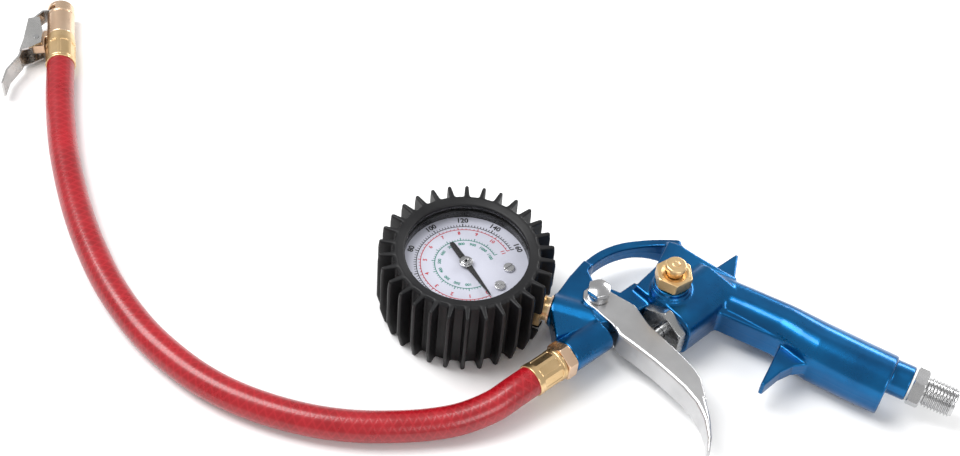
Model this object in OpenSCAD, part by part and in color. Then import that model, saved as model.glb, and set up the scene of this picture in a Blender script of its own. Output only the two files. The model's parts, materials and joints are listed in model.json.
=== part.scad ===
/* [Overall] */
// Height of the gun's middle plane above the table it lies on
mid_z = 13; // [13:0.5:16]
// Direction of the gauge port, seen from the gauge, against the grip's axis
port_dir = 10.5; // [6:0.5:14]
// Radial gap of a screwed or pushed joint between fixed pieces
fit_gap = 0.1; // [0.05:0.05:0.2]
// Radial gap of a shaft that turns or slides
run_gap = 0.05; // [0.02:0.01:0.1]
// Gap kept between faces that move past each other
free_gap = 0.3; // [0.2:0.05:0.5]

/* [Grip] */
// Length of the round part of the grip
grip_len = 46; // [38:1:60]
// Width of the grip, seen on the dial side
grip_w = 23; // [19:0.5:28]
// Thickness of the grip
grip_t = 26; // [20:0.5:26]
// Height of the thumb spur over the grip's back
thumb_spur = 15; // [8:0.5:20]
// Reach of the finger spur below the grip's web
finger_spur = 22.7; // [18:0.1:28]

/* [Lever] */
// Outside height of the pressed channel
lever_h = 12.4; // [11:0.2:14]
// Sheet thickness of the lever
lever_t = 1.2; // [0.8:0.1:1.6]
// Turn of the lever when it is squeezed home, in degrees
lever_travel = 7; // [4:0.5:8]
// Diameter of the pivot bolt's shank
pivot_d = 5; // [4:0.1:6]

/* [Air valve] */
// Width across the barrel
barrel_w = 23; // [21:0.5:25]
// Diameter of the valve chamber
chamber_d = 13; // [11:0.2:14]
// Diameter of the valve stem
stem_d = 5; // [3.5:0.1:6]
// Across flats of the gland nut
gland_af = 20; // [17:0.5:20]
// Thickness of the gland nut's hexagon
gland_t = 4.5; // [3:0.25:5]

/* [Bleed valve] */
// Diameter of the bleed valve's boss
bleed_boss_d = 16.6; // [15:0.2:18]
// Height of the boss's top above the table
bleed_top = 28; // [26:0.5:31]
// Across flats of the brass bleed nut
bleed_af = 14; // [12:0.5:15]
// Diameter of the bleed button's cap
button_d = 8.8; // [7.5:0.1:10]
// Travel of the bleed button
button_travel = 1.4; // [0.8:0.1:1.5]

/* [Air inlet] */
// Major diameter of the quarter inch pipe thread
inlet_d = 13.16; // [9.7:0.01:13.2]
// Length of the threaded end
inlet_len = 12; // [9:0.5:14]
// Across flats of the inlet's hexagon
inlet_af = 15; // [14:0.5:17]

/* [Gauge] */
// Outside radius of the gauge case
case_r = 28.1; // [25:0.1:30]
// Rubber thickness of the boot's wall
boot_wall = 2; // [1.5:0.1:3]
// Height of the boot
boot_h = 36; // [34:0.5:42]
// Number of fins around the boot
fin_count = 30; // [20:1:36]
// Radial reach of each fin
fin_reach = 6.2; // [3:0.1:7]
// Height of the dial's face above the table
dial_z = 26.5; // [26:0.25:27]
// Sweep of the pointer, in degrees
pointer_sweep = 276; // [200:1:290]
// Direction of the pointer at rest, against the gauge port
pointer_rest = -41.5; // [-60:0.5:-30]

/* [Hose and chuck] */
// Outside diameter of the hose
hose_od = 12.8; // [11:0.1:13.2]
// Inside diameter of the hose
hose_id = 8.6; // [6:0.1:9]
// Length of each crimped ferrule
ferrule_len = 14.5; // [10:0.5:18]
// Diameter of the chuck
chuck_d = 12.9; // [12.5:0.1:13.4]
// Bore of the chuck's mouth, over a tyre valve
mouth_d = 8; // [7.7:0.05:8.2]
// Turn of the clip when its tail is pressed, in degrees
clip_travel = 16; // [8:1:18]

/* [Hidden] */
$fn = 64;
eps = 0.01;

// gauge: radii and heights
boot_r = case_r + 0.3 + boot_wall;
boot_back = 2.6;
lip_t = 2.8;
lip_r = case_r - 2.7;
case_z0 = boot_back + 0.2;
case_z1 = boot_h - lip_t - 0.2;
case_wall = 1;
dial_t = 0.5;
window_r = case_r - 2.2;
stem_hex_af = 14;
stem_hex_t = 3.8;
stem_neck = 3.1;
stem_neck_r = 5;
stem_thread_r = 4.8;
stem_thread_len = 9;
stem_reach = boot_r + 0.6;
port_reach = stem_reach + stem_hex_t + stem_neck;
block_in = 8;
block_w = 15;
block_t = 8.5;
bourdon_r = case_r - 7;
screw_r = case_r - 10.3;
screw_spread = 17;
frame_z0 = mid_z + block_t / 2;
plate_t = 1;
frame_z1 = dial_z - dial_t - 2.6;
gear_z = (frame_z0 + frame_z1) / 2 + 0.2;
sector_at = [-11, 0];
pinion_r = 1.1;
gear_ratio = 9;
sector_r = gear_ratio * pinion_r;

// gun: places measured from the face of its gauge port
gun_at = port_reach * [cos(port_dir), sin(port_dir)];
pivot_at = [15.4, 11.7];
valve_at = [45.4, 17.1];
valve_dir = 250;
bleed_at = [40.5, 27.9];
hose_boss_at = [16.3, -18.5];
hose_dir = 248;
hose_boss_r = 7.2;
port_boss_r = 6.75;
junction_at = [25.4, 4.3];
arch_c = [38, 21];
arch_r = 37;
arch_w = 4;
arch_half = 3.5;
web_half = 6;
block_half = 8;
bridge_half = lever_h / 2 - lever_t - free_gap;
grip_x0 = 89;
grip_x1 = grip_x0 + grip_len;
grip_back = 47.5;
grip_front = grip_back - grip_w;
neck_len = 8;
neck_r = 7.35;
inlet_y = grip_back - 6;
inlet_x = grip_x1 + neck_len;
seal_t = 0.8;
inlet_hex_t = 5;
inlet_tail_len = 10;
inlet_tail_r = 5.2;
inlet_bore_r = 3;

// valve, along its own axis: 0 is the barrel's mouth, inwards is negative
spigot_len = 8;
spigot_r = chamber_d / 2 + 1.5;
seat_z = -13;
seat_t = 3;
seat_hole_r = 3.6;
poppet_r = chamber_d / 2 - 1.2;
poppet_t = 2.4;
stem_thin_r = stem_d / 2 - 0.6;
chamber_depth = 27;
stem_out = 20.4;

// bleed valve
bleed_nut_t = 6;
bleed_bore_r = 5;
bleed_floor = bleed_top - 7.3;
bleed_pin_r = 1.5;
bleed_cap_z = bleed_top + 0.3 + bleed_nut_t + button_travel + 0.5;
button_cap_t = 3.4;
neck_hole_r = 3.5;

// hose and chuck
ferrule_wall = 0.5;
ferrule_bore = hose_od / 2 + 0.06;
adaptor_af = 14;
adaptor_hex_t = 5;
barb_r = hose_id / 2 - 0.15;
chuck_at = [-229, 23];
chuck_z = 7;
chuck_dir = 128;
tail_collar = 3.6;
chuck_x0 = ferrule_len + 0.2 + tail_collar + 0.1;
chuck_len = 21.8;
mouth_x0 = chuck_x0 + 12.6;
lug_x = [12, 21];
lug_y = 13.2;
lug_half = 2.4;
clip_pin_at = [15.5, 10.6];
clip_pin_r = 1.2;
clip_half = 5.4;
clip_t = 0.9;
slit_x = [35.4, 37.7];
hose_sides = 12;
// the hose's route over the table, ferrule to ferrule
hose_route = [[48.6, -24, 13], [46.4, -29.4, 13], [43, -37, 12.2], [38, -46.5, 10], [29.5, -56.5, 7.8],
    [19, -65, 6.6], [7.8, -72.6, 6.5], [-3.7, -79.2, 6.5], [-15.9, -84.5, 6.5], [-28.8, -88.4, 6.5],
    [-42.2, -91, 6.5], [-56.1, -92.2, 6.5], [-70.4, -91.6, 6.5], [-85.2, -89, 6.5], [-100.4, -84.8, 6.5],
    [-115.8, -78.4, 6.5], [-131.3, -70.2, 6.5], [-146.7, -60, 6.5], [-162.2, -48.3, 6.5],
    [-177.5, -35, 6.5], [-192.7, -20.4, 6.5], [-205, -7, 6.6], [-217, 7.3, 6.8], [-229, 23, 7],
    [-233.3, 28.5, 7]];

// ---- helpers ----
module in_gun() { translate([gun_at.x, gun_at.y, 0]) children(); }
module in_chuck() { translate([chuck_at.x, chuck_at.y, chuck_z]) rotate([0, 0, chuck_dir]) children(); }
// turns local +Z to point along a direction in the middle plane
module outwards(at, dir) { translate([at.x, at.y, mid_z]) rotate([0, 0, dir]) rotate([0, 90, 0]) children(); }
module slab(points, half) { translate([0, 0, mid_z - half]) linear_extrude(2 * half) polygon(points); }
module pipe(r, z0, z1) { translate([0, 0, z0]) cylinder(r = r, h = z1 - z0); }
module hexagon(af, z0, z1) { translate([0, 0, z0]) cylinder(r = af / sqrt(3), h = z1 - z0, $fn = 6); }
module ring(r_out, r_in, z0, z1) {
    difference() {
        pipe(r_out, z0, z1);
        pipe(r_in, z0 - 1, z1 + 1);
    }
}
module rounded(w, h, r) {
    square([w - 2 * r, h], center = true);
    square([w, h - 2 * r], center = true);
    for (i = [-1, 1], j = [-1, 1]) translate([i * (w / 2 - r), j * (h / 2 - r)]) circle(r = r);
}
function unit(v) = v / norm(v);
// points of a ring of n corners round point p, square to direction d
function ring_points(p, d, r, n) =
    let (side = unit(cross(d, [0, 0, 1])), up = cross(side, d))
    [for (k = [0:n - 1]) p + r * (cos(360 * k / n) * side + sin(360 * k / n) * up)];
function direction(path, i) =
    unit(path[min(i + 1, len(path) - 1)] - path[max(i - 1, 0)]);
// point at parameter t on the smooth curve through the route
function curve(p, i, t) =
    let (a = p[max(i - 1, 0)], b = p[i], c = p[i + 1], d = p[min(i + 2, len(p) - 1)])
    0.5 * ((2 * b) + (c - a) * t + (2 * a - 5 * b + 4 * c - d) * t * t + (3 * b - a - 3 * c + d) * t * t * t);
function smooth(p, steps) =
    concat([for (i = [0:len(p) - 2], s = [0:steps - 1]) curve(p, i, s / steps)], [p[len(p) - 1]]);
// solid round rod along a path
module rod(path, r, n) {
    rings = [for (i = [0:len(path) - 1]) ring_points(path[i], direction(path, i), r, n)];
    last = len(path) - 1;
    polyhedron(
        points = [for (g = rings, q = g) q],
        faces = concat(
            [[for (k = [n - 1:-1:0]) k]],
            [for (i = [0:last - 1], k = [0:n - 1])
                [i * n + k, i * n + (k + 1) % n, (i + 1) * n + (k + 1) % n, (i + 1) * n + k]],
            [[for (k = [0:n - 1]) last * n + k]]));
}
// hollow tube along a path: every ring holds n outer corners, then n inner ones
module tube(path, r_out, r_in, n) {
    m = 2 * n;
    last = len(path) - 1;
    rings = [for (i = [0:last]) concat(
        ring_points(path[i], direction(path, i), r_out, n),
        ring_points(path[i], direction(path, i), r_in, n))];
    polyhedron(
        points = [for (g = rings, q = g) q],
        faces = concat(
            [for (k = [0:n - 1]) [k, n + k, n + (k + 1) % n, (k + 1) % n]],
            [for (i = [0:last - 1], k = [0:n - 1])
                [i * m + k, i * m + (k + 1) % n, (i + 1) * m + (k + 1) % n, (i + 1) * m + k]],
            [for (i = [0:last - 1], k = [0:n - 1])
                [i * m + n + (k + 1) % n, i * m + n + k, (i + 1) * m + n + k, (i + 1) * m + n + (k + 1) % n]],
            [for (k = [0:n - 1])
                [last * m + (k + 1) % n, last * m + n + (k + 1) % n, last * m + n + k, last * m + k]]));
}
// coil spring standing on z = 0
module coil(r, wire_r, height, turns) {
    rise = height - 2 * wire_r;
    rod([for (i = [0:12 * turns]) [r * cos(30 * i), r * sin(30 * i), wire_r + rise * i / (12 * turns)]],
        wire_r, 6);
}

// ---- gun body ----
mouth_u = [cos(valve_dir + 90), sin(valve_dir + 90)];
function at_mouth(u, v = 0) = valve_at + u * mouth_u + v * [cos(valve_dir), sin(valve_dir)];

module arch() {
    translate([0, 0, mid_z - arch_half]) linear_extrude(2 * arch_half) intersection() {
        translate(arch_c) difference() {
            circle(r = arch_r);
            circle(r = arch_r - arch_w);
        }
        polygon([[-8, 20], [-8, 66], [27, 66], [36, 54], [34, 40], [8, 24]]);
    }
}
module head() {
    // foot of the arch, ear round the pivot and bridge to the barrel, all inside the lever's channel
    slab([[-0.6, 4], [0, 17], [1.6, 28], [5.6, 27], [5.2, 24], [10, 19.5], [22, 20], [25, 28], [40, 27],
        [35, 19], [30, 11.5], [25.4, 4.3], [16, -2], [6, 0]], bridge_half);
    translate([pivot_at.x, pivot_at.y, mid_z - bridge_half]) cylinder(r = 7, h = 2 * bridge_half);
    difference() {
        union() {
            outwards([0, 0], port_dir) pipe(port_boss_r, 0, 21);
            outwards(hose_boss_at, hose_dir) pipe(hose_boss_r, -19.5, 0);
            slab([[0.6, 0], [1.4, -4], [9.6, -15.8], [14, -9], [24, 4], [16, 6]], 5.6);
        }
        for (s = [-1, 1]) translate([0, 0, mid_z + s * (bridge_half + 10)]) {
            translate([pivot_at.x, pivot_at.y, -10]) cylinder(r = 7.4, h = 20);
            linear_extrude(20, center = true) polygon([[15, 4.6], [24, -1.6], [60, -10], [60, 30], [16, 30]]);
        }
    }
}
module barrel() {
    outwards(valve_at, valve_dir) translate([0, 0, -30]) linear_extrude(30) rounded(22, barrel_w, 7.4);
    slab([at_mouth(-20, -0.3), [29.8, 38.1], [29.4, 48.4], [29, 54], [35, 54.5], [43.3, 52.8], [53.7, 51.2],
        [62, 50.2], [62, 38], at_mouth(barrel_w / 2 - 2.5, -20), at_mouth(barrel_w / 2 - 2.5, -0.3)], block_half);
    translate([bleed_at.x, bleed_at.y, mid_z]) {
        pipe(bleed_boss_d / 2, 0, bleed_top - mid_z - 2.4);
        pipe(bleed_boss_d / 2 - 0.7, 0, bleed_top - mid_z);
    }
}
module grip() {
    // back strap, then the round grip, then the neck that takes the inlet
    translate([54, grip_back - 6.4, mid_z]) rotate([90, 0, 90])
        linear_extrude(grip_x0 + 1 - 54) rounded(16, 22, 4.5);
    intersection() {
        slab([[grip_x0 - 2, grip_back - 11.5], [grip_x0 + 2, grip_back - 16], [grip_x0 + 7, grip_front + 3],
            [grip_x0 + 15, grip_front + 1], [grip_x1, grip_front], [grip_x1, grip_back],
            [grip_x0 - 2, grip_back + 1.9]], grip_t / 2);
        translate([grip_x0 - 2, grip_back - grip_w / 2 + 0.95, mid_z]) rotate([90, 0, 90])
            linear_extrude(grip_len + 2) rounded(grip_w + 1.9, grip_t, 10);
    }
    translate([grip_x1 - 4, inlet_y, mid_z]) rotate([0, 90, 0]) cylinder(r = neck_r, h = neck_len + 4);
}
module spurs() {
    // thumb spur behind the barrel
    slab([[50, 51], [56.2, 51 + thumb_spur], [57.4, 51.2 + thumb_spur], [61.8, 50], [58, 46]], arch_half);
    // finger spur and the flat web that carries it
    slab([[52, 28], [grip_x0 + 6, 28], [grip_x0 + 6, 44], [52, 44]], web_half - 0.4);
    slab([[grip_x0 + 1, 30.2], [grip_x0 + 1, 30.2 - finger_spur], [grip_x0 + 2.6, 30 - finger_spur],
        [grip_x0 + 6, 30.2 - 0.58 * finger_spur], [grip_x0 + 9.5, 30.2 - 0.34 * finger_spur],
        [grip_x0 + 14, 26], [grip_x0 + 12, 36], [grip_x0 + 1, 36]], arch_half);
    slab([[54, 30.2], [grip_x0 + 6, 30.2], [grip_x0 + 6, 40], [54, 40]], web_half);
}
module body() {
    color([0.06, 0.36, 0.63]) in_gun() difference() {
        union() {
            union() {
                arch();
                head();
                barrel();
            }
            union() {
                grip();
                spurs();
            }
        }
        // finger room under the web, in front of the finger spur
        translate([at_mouth(barrel_w / 2).x + 3, -30, -5]) cube([grip_x0 + 1 - at_mouth(barrel_w / 2).x - 3, 60.2, 50]);
        // gauge port, hose port and the drillings that join them to the valve
        outwards([0, 0], port_dir) pipe(stem_thread_r + fit_gap, -1, stem_thread_len + 0.5);
        outwards([0, 0], port_dir) pipe(2, 0, norm(junction_at));
        outwards(hose_boss_at, hose_dir) pipe(stem_thread_r + fit_gap, -9.5, 1);
        outwards(hose_boss_at, hose_dir) pipe(1.8, -norm(junction_at - hose_boss_at), 0);
        drill(junction_at, [30, 28.5], 1.6);
        drill([28.4, 28.5], at_mouth(0, -9.2), 1.3);
        // valve chamber, with the gland's thread at its mouth
        outwards(valve_at, valve_dir) pipe(spigot_r + fit_gap, -spigot_len - 0.5, 1);
        outwards(valve_at, valve_dir) pipe(chamber_d / 2, -chamber_depth, 1);
        // bleed valve
        translate([bleed_at.x, bleed_at.y, 0]) pipe(bleed_bore_r + fit_gap, bleed_floor, bleed_top + 1);
        translate([bleed_at.x, bleed_at.y, 0]) pipe(1.4, mid_z, bleed_floor + 1);
        // pivot, inlet thread and the air way along the grip
        translate([pivot_at.x, pivot_at.y, 0]) pipe(pivot_d / 2 + run_gap, -1, 40);
        translate([inlet_x, inlet_y, mid_z]) rotate([0, -90, 0]) pipe(inlet_tail_r + fit_gap, -1, inlet_tail_len + 0.5);
        drill([inlet_x, inlet_y], [64, inlet_y], inlet_bore_r);
        drill([66, inlet_y], at_mouth(0, -22), 2.4);
    }
}
module drill(a, b, r) {
    d = b - a;
    translate([a.x, a.y, mid_z]) rotate([0, 0, atan2(d.y, d.x)]) rotate([0, 90, 0]) cylinder(r = r, h = norm(d));
}

// ---- inlet ----
module at_inlet() { in_gun() translate([inlet_x, inlet_y, mid_z]) rotate([0, 90, 0]) children(); }
module inlet_nipple() {
    color("silver") at_inlet() difference() {
        union() {
            hexagon(inlet_af, seal_t, seal_t + inlet_hex_t);
            pipe(inlet_d / 2 - 0.9, seal_t + inlet_hex_t, seal_t + inlet_hex_t + 1.2);
            pipe(inlet_d / 2, seal_t + inlet_hex_t + 1.2, seal_t + inlet_hex_t + 1.2 + inlet_len);
            pipe(inlet_tail_r, -inlet_tail_len, seal_t);
        }
        pipe(3.2, -inlet_tail_len - 1, 40);
    }
}
module inlet_seal() { color("white") at_inlet() ring(neck_r - 0.4, inlet_tail_r + fit_gap, 0, seal_t); }

// ---- lever and its pivot ----
module at_pivot() { in_gun() translate([pivot_at.x, pivot_at.y, 0]) children(); }
lever_top = mid_z + lever_h / 2;
lever_low = mid_z - lever_h / 2;
collar_t = 3;
module pivot_bolt() {
    color("silver") at_pivot() {
        hexagon(9, lever_top + free_gap + collar_t, lever_top + free_gap + collar_t + 3);
        pipe(4.2, lever_top + free_gap + collar_t, lever_top + free_gap + collar_t + 3.5);
        pipe(pivot_d / 2, lever_low - 5, lever_top + free_gap + collar_t);
    }
}
module pivot_collar() {
    color("silver") at_pivot() ring(4.6, pivot_d / 2 + fit_gap, lever_top + free_gap, lever_top + free_gap + collar_t);
}
module pivot_nut() {
    color("silver") at_pivot() difference() {
        hexagon(8, lever_low - free_gap - 4, lever_low - free_gap);
        pipe(pivot_d / 2 + fit_gap, 0, mid_z);
    }
}
// outline of the lever's web, inner side, from the pivot end to the tip
web_line = [[31, -0.6], [40, -2.8], [50, -5.8], [58, -8.6], [65, -11.4], [72, -15.4], [78, -21], [82, -27], [84.6, -33]];
function web_side(i) = let (d = direction(web_line, i)) [d.y, -d.x];
module lever_flange() {
    // ear round the pivot, then an arm that narrows to nothing along the web
    linear_extrude(lever_t) difference() {
        union() {
            translate(pivot_at) circle(r = 6);
            polygon(concat([[10.6, 7.9], [19.5, 4.2], [26.8, 1.6]], [for (i = [0:5]) web_line[i] + lever_t * web_side(i)],
                [[74.4, -13.2], [68.4, -4.6], [63.8, -1.2], [55.8, 2.6], [39.8, 9.2], [30.5, 15.6], [18.4, 16.9]]));
        }
        translate(pivot_at) circle(r = pivot_d / 2 + run_gap);
    }
}
module lever() {
    color([0.8, 0.8, 0.82]) in_gun() {
        translate([0, 0, lever_top - lever_t]) lever_flange();
        translate([0, 0, lever_low]) lever_flange();
        translate([0, 0, lever_low]) intersection() {
            linear_extrude(lever_h) polygon(concat(web_line,
                [for (i = [len(web_line) - 1:-1:0]) web_line[i] + lever_t * web_side(i)]));
            // the web's height runs out to a rounded tip
            translate([0, 0, lever_h / 2]) rotate([0, 0, -62]) rotate([90, 0, 0])
                linear_extrude(200, center = true) polygon([[0, -20], [0, 20], [60, 20], [60, -20]]);
        }
    }
}

// ---- air valve ----
module at_valve() { in_gun() outwards(valve_at, valve_dir) children(); }
module gland_nut() {
    color("silver") at_valve() difference() {
        union() {
            hexagon(gland_af, 0, gland_t);
            pipe(spigot_r, -spigot_len, 0);
        }
        pipe(stem_d / 2 + run_gap, -20, 20);
        pipe(stem_d / 2 + 2.2, -spigot_len - 1, -spigot_len + 3);
    }
}
module gland_seal() { color([0.1, 0.1, 0.1]) at_valve() ring(stem_d / 2 + 2.1, stem_d / 2 + run_gap, -spigot_len + 0.2, -spigot_len + 2.9); }
module valve_seat() {
    color([0.8, 0.62, 0.3]) at_valve() ring(chamber_d / 2 - 0.05, seat_hole_r, seat_z, seat_z + seat_t);
}
module valve_stem() {
    color("silver") at_valve() {
        pipe(stem_d / 2, -9.6, stem_out - 1);
        pipe(stem_d / 2 - 1.3, stem_out - 1, stem_out);
        pipe(stem_thin_r, seat_z - poppet_t - 0.4, -9.6);
    }
}
module valve_poppet() {
    color([0.12, 0.12, 0.12]) at_valve() difference() {
        pipe(poppet_r, seat_z - 0.1 - poppet_t, seat_z - 0.1);
        pipe(stem_thin_r + 0.02, seat_z - 9, seat_z + 1);
    }
}
module valve_spring() {
    color("silver") at_valve() translate([0, 0, -chamber_depth + 0.1])
        coil(poppet_r - 0.9, 0.45, chamber_depth + seat_z - poppet_t - 0.4, 5);
}

// ---- bleed valve ----
module at_bleed() { in_gun() translate([bleed_at.x, bleed_at.y, 0]) children(); }
bleed_nut_z0 = bleed_top + 0.3;
bleed_nut_z1 = bleed_nut_z0 + bleed_nut_t;
module bleed_nut() {
    color([0.86, 0.66, 0.32]) at_bleed() difference() {
        union() {
            hexagon(bleed_af, bleed_nut_z0, bleed_nut_z1);
            pipe(bleed_bore_r, bleed_nut_z0 - 4.5, bleed_nut_z0);
            pipe(bleed_af / 2 - 0.6, bleed_top, bleed_nut_z0);
        }
        pipe(bleed_pin_r + 0.6, 0, 60);
        pipe(neck_hole_r, bleed_nut_z1 - 3, bleed_nut_z1 + 1);
    }
}
module bleed_button() {
    color([0.88, 0.68, 0.34]) at_bleed() {
        pipe(button_d / 2, bleed_cap_z, bleed_cap_z + button_cap_t);
        pipe(neck_hole_r - 0.1, bleed_nut_z1 - 1, bleed_cap_z);
        pipe(bleed_pin_r, bleed_nut_z0 - 5.5, bleed_nut_z1 - 1);
    }
}
module bleed_seal() {
    color([0.1, 0.1, 0.1]) at_bleed() difference() {
        pipe(3.4, bleed_nut_z0 - 5.9, bleed_nut_z0 - 4.7);
        pipe(bleed_pin_r, bleed_nut_z0 - 5.5, bleed_nut_z0);
    }
}
module bleed_spring() {
    color("silver") at_bleed() translate([0, 0, bleed_floor + 0.02])
        coil(2.6, 0.2, bleed_nut_z0 - 5.95 - bleed_floor - 0.04, 2);
}

// ---- gauge ----
module radial() { rotate([0, 0, port_dir]) translate([0, 0, mid_z]) rotate([0, 90, 0]) children(); }
module fin() {
    linear_extrude(boot_h) polygon([[boot_r - 1, -1.3], [boot_r + fin_reach, -0.75],
        [boot_r + fin_reach, 0.75], [boot_r - 1, 1.3]]);
}
module gauge_boot() {
    color([0.1, 0.1, 0.1]) difference() {
        union() {
            pipe(boot_r, 0, boot_h - 0.4);
            pipe(boot_r - 1, 0, boot_h);
            intersection() {
                for (i = [0:fin_count - 1]) rotate([0, 0, port_dir + 360 * i / fin_count]) fin();
                rotate_extrude() polygon([[0, 0], [boot_r + fin_reach - 2.4, 0], [boot_r + fin_reach, 9],
                    [boot_r + fin_reach, boot_h - 3], [boot_r + fin_reach - 0.6, boot_h - 0.6],
                    [boot_r - 1, boot_h - 0.6], [0, boot_h - 0.6]]);
            }
        }
        pipe(case_r + 0.15, boot_back, boot_h - lip_t);
        pipe(lip_r, boot_back, boot_h + 1);
        // room for the stem and its hexagon, through the wall and the fins
        radial() pipe(stem_hex_af / sqrt(3) + 1.2, boot_r - 0.5, boot_r + 20);
        radial() pipe(stem_neck_r + 0.6, case_r - 5, boot_r + 20);
    }
}
module gauge_case() {
    color([0.12, 0.12, 0.13]) difference() {
        pipe(case_r, case_z0, dial_z + 3.2);
        pipe(case_r - case_wall, case_z0 + case_wall, boot_h);
        radial() pipe(stem_neck_r + fit_gap, case_r - 5, case_r + 5);
    }
}
module gauge_stem() {
    color([0.85, 0.65, 0.32]) difference() {
        union() {
            radial() hexagon(stem_hex_af, stem_reach, stem_reach + stem_hex_t);
            radial() pipe(stem_neck_r, case_r - 4, stem_reach);
            radial() pipe(stem_neck_r, stem_reach + stem_hex_t, port_reach - 0.8);
            radial() pipe(stem_thread_r, port_reach - 0.8, port_reach + stem_thread_len);
            rotate([0, 0, port_dir]) translate([block_in, -block_w / 2, mid_z - block_t / 2])
                cube([case_r - 3 - block_in, block_w, block_t]);
        }
        radial() pipe(1.2, 14, port_reach + 20);
    }
}
module stem_washer() { color([0.7, 0.3, 0.2]) radial() ring(stem_neck_r + 1, stem_thread_r + fit_gap, port_reach - 0.75, port_reach - 0.02); }
module bourdon_tube() {
    start = asin((block_w / 2 + 0.02) / (bourdon_r - 1));
    color([0.8, 0.6, 0.3]) rotate([0, 0, port_dir + start])
        rotate_extrude(angle = 240) translate([bourdon_r - 1, mid_z - 3.5]) square([2, 7]);
}
module dial_posts() {
    for (s = [-1, 1]) rotate([0, 0, port_dir + s * screw_spread - 4]) translate([screw_r, 0, 0]) children();
}
module movement_frame() {
    color([0.82, 0.64, 0.34]) difference() {
        union() {
            rotate([0, 0, port_dir]) {
                for (z = [frame_z0, frame_z1]) translate([-15, -6.4, z]) cube([case_r + 7.9, 12.8, plate_t]);
                for (y = [-3.6, 3.6]) translate([4, y, 0]) pipe(1.1, frame_z0 + plate_t, frame_z1);
            }
            dial_posts() pipe(2.1, frame_z0, dial_z - dial_t - 0.05);
        }
        pipe(0.75 + run_gap, 0, 50);
        rotate([0, 0, port_dir]) translate([sector_at.x, sector_at.y, 0]) pipe(0.7 + run_gap, 0, 50);
        dial_posts() pipe(1.2 + fit_gap, frame_z0 + plate_t + 1, 50);
    }
}
module sector_gear() {
    color([0.8, 0.62, 0.32]) rotate([0, 0, port_dir]) translate([sector_at.x, sector_at.y, 0]) {
        pipe(0.7, frame_z0 + 0.1, frame_z1 + plate_t);
        translate([0, 0, gear_z]) linear_extrude(0.8) intersection() {
            union() {
                circle(r = 2);
                difference() {
                    circle(r = sector_r - free_gap);
                    circle(r = sector_r - 2.4);
                }
                translate([0, -1]) square([sector_r - 1.5, 2]);
            }
            polygon([[-3, -3], [-3, 3], [0, 3], [sector_r, 2], [sector_r * 1.2, -sector_r * 0.75], [3, -5]]);
        }
    }
}
module pointer_arbor() {
    color([0.8, 0.8, 0.8]) {
        pipe(0.75, frame_z0 + 0.1, dial_z + 2.2);
        pipe(pinion_r, gear_z - 0.3, gear_z + 1.1);
    }
}
module pointer() {
    color([0.15, 0.15, 0.16]) rotate([0, 0, port_dir + pointer_rest]) translate([0, 0, dial_z + 0.9]) difference() {
        linear_extrude(0.4) polygon([[-12.2, -0.7], [-11, -1.1], [-3, -1.3], [0, -2.4], [3, -1.2], [19.2, -0.25],
            [19.2, 0.25], [3, 1.2], [0, 2.4], [-3, 1.3], [-11, 1.1], [-12.2, 0.7]]);
        pipe(0.75 + fit_gap, -1, 2);
    }
}
module pointer_cap() {
    color("silver") difference() {
        pipe(2.9, dial_z + 1.35, dial_z + 2.5);
        pipe(0.75 + fit_gap, dial_z, dial_z + 2.25);
    }
}
module dial() {
    color([0.92, 0.92, 0.96]) difference() {
        pipe(case_r - case_wall - 0.2, dial_z - dial_t, dial_z);
        pipe(1.4, 0, 50);
        dial_posts() pipe(1.2 + fit_gap, 0, 50);
    }
}
module dial_screws() {
    color("silver") dial_posts() {
        pipe(2.4, dial_z + 0.02, dial_z + 1.2);
        pipe(1.2, dial_z - 4, dial_z + 0.02);
    }
}
module dial_ring() { color([0.1, 0.1, 0.1]) ring(case_r - case_wall - 0.1, window_r, dial_z + 0.05, dial_z + 3.1); }
lens_z = dial_z + 4;
lens_t = 1.6;
module lens_gasket() { color([0.1, 0.1, 0.1]) ring(case_r - case_wall - 0.1, window_r, dial_z + 3.2, lens_z - 0.05); }
module lens() { color([0.8, 0.9, 0.95, 0.3]) pipe(case_r - case_wall - 0.15, lens_z, lens_z + lens_t); }
module bezel_ring() {
    color([0.1, 0.1, 0.1]) {
        ring(case_r, case_r - case_wall, dial_z + 3.3, lens_z + lens_t + 0.2);
        ring(case_r, window_r, lens_z + lens_t + 0.05, case_z1);
    }
}

// ---- hose, its ends and the chuck ----
module at_hose_port() { in_gun() outwards(hose_boss_at, hose_dir) children(); }
module crimped(z0, z1) {
    difference() {
        ring(ferrule_bore + ferrule_wall, ferrule_bore, z0, z1);
        for (k = [0:7]) rotate([0, 0, 45 * k]) translate([ferrule_bore + ferrule_wall - 0.2, -1.6, z0 + 3.2])
            cube([2, 3.2, z1 - z0 - 6.4]);
    }
}
module hose_adaptor() {
    color([0.9, 0.68, 0.5]) at_hose_port() difference() {
        union() {
            hexagon(adaptor_af, 0.1, 0.1 + adaptor_hex_t);
            pipe(stem_thread_r, -9, 0.1);
            pipe(barb_r, adaptor_hex_t, adaptor_hex_t + ferrule_len);
        }
        pipe(2, -10, 40);
    }
}
module hose_ferrule() {
    color([0.88, 0.7, 0.3]) at_hose_port() crimped(adaptor_hex_t + 0.15, adaptor_hex_t + 0.15 + ferrule_len);
}
module hose() { color([0.75, 0.08, 0.12]) tube(smooth(hose_route, 3), hose_od / 2, hose_id / 2, hose_sides); }
module along_chuck() { in_chuck() rotate([0, 90, 0]) children(); }
module chuck_ferrule() { color([0.88, 0.66, 0.3]) along_chuck() crimped(0, ferrule_len); }
module chuck_tail() {
    color([0.88, 0.64, 0.4]) along_chuck() difference() {
        union() {
            pipe(barb_r, 0.5, ferrule_len + 1);
            pipe(chuck_d / 2 + 0.1, ferrule_len + 0.1, ferrule_len + 0.1 + tail_collar);
            pipe(4.6, ferrule_len + tail_collar, chuck_x0 + 6);
        }
        pipe(1.6, 0, 60);
    }
}
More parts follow.
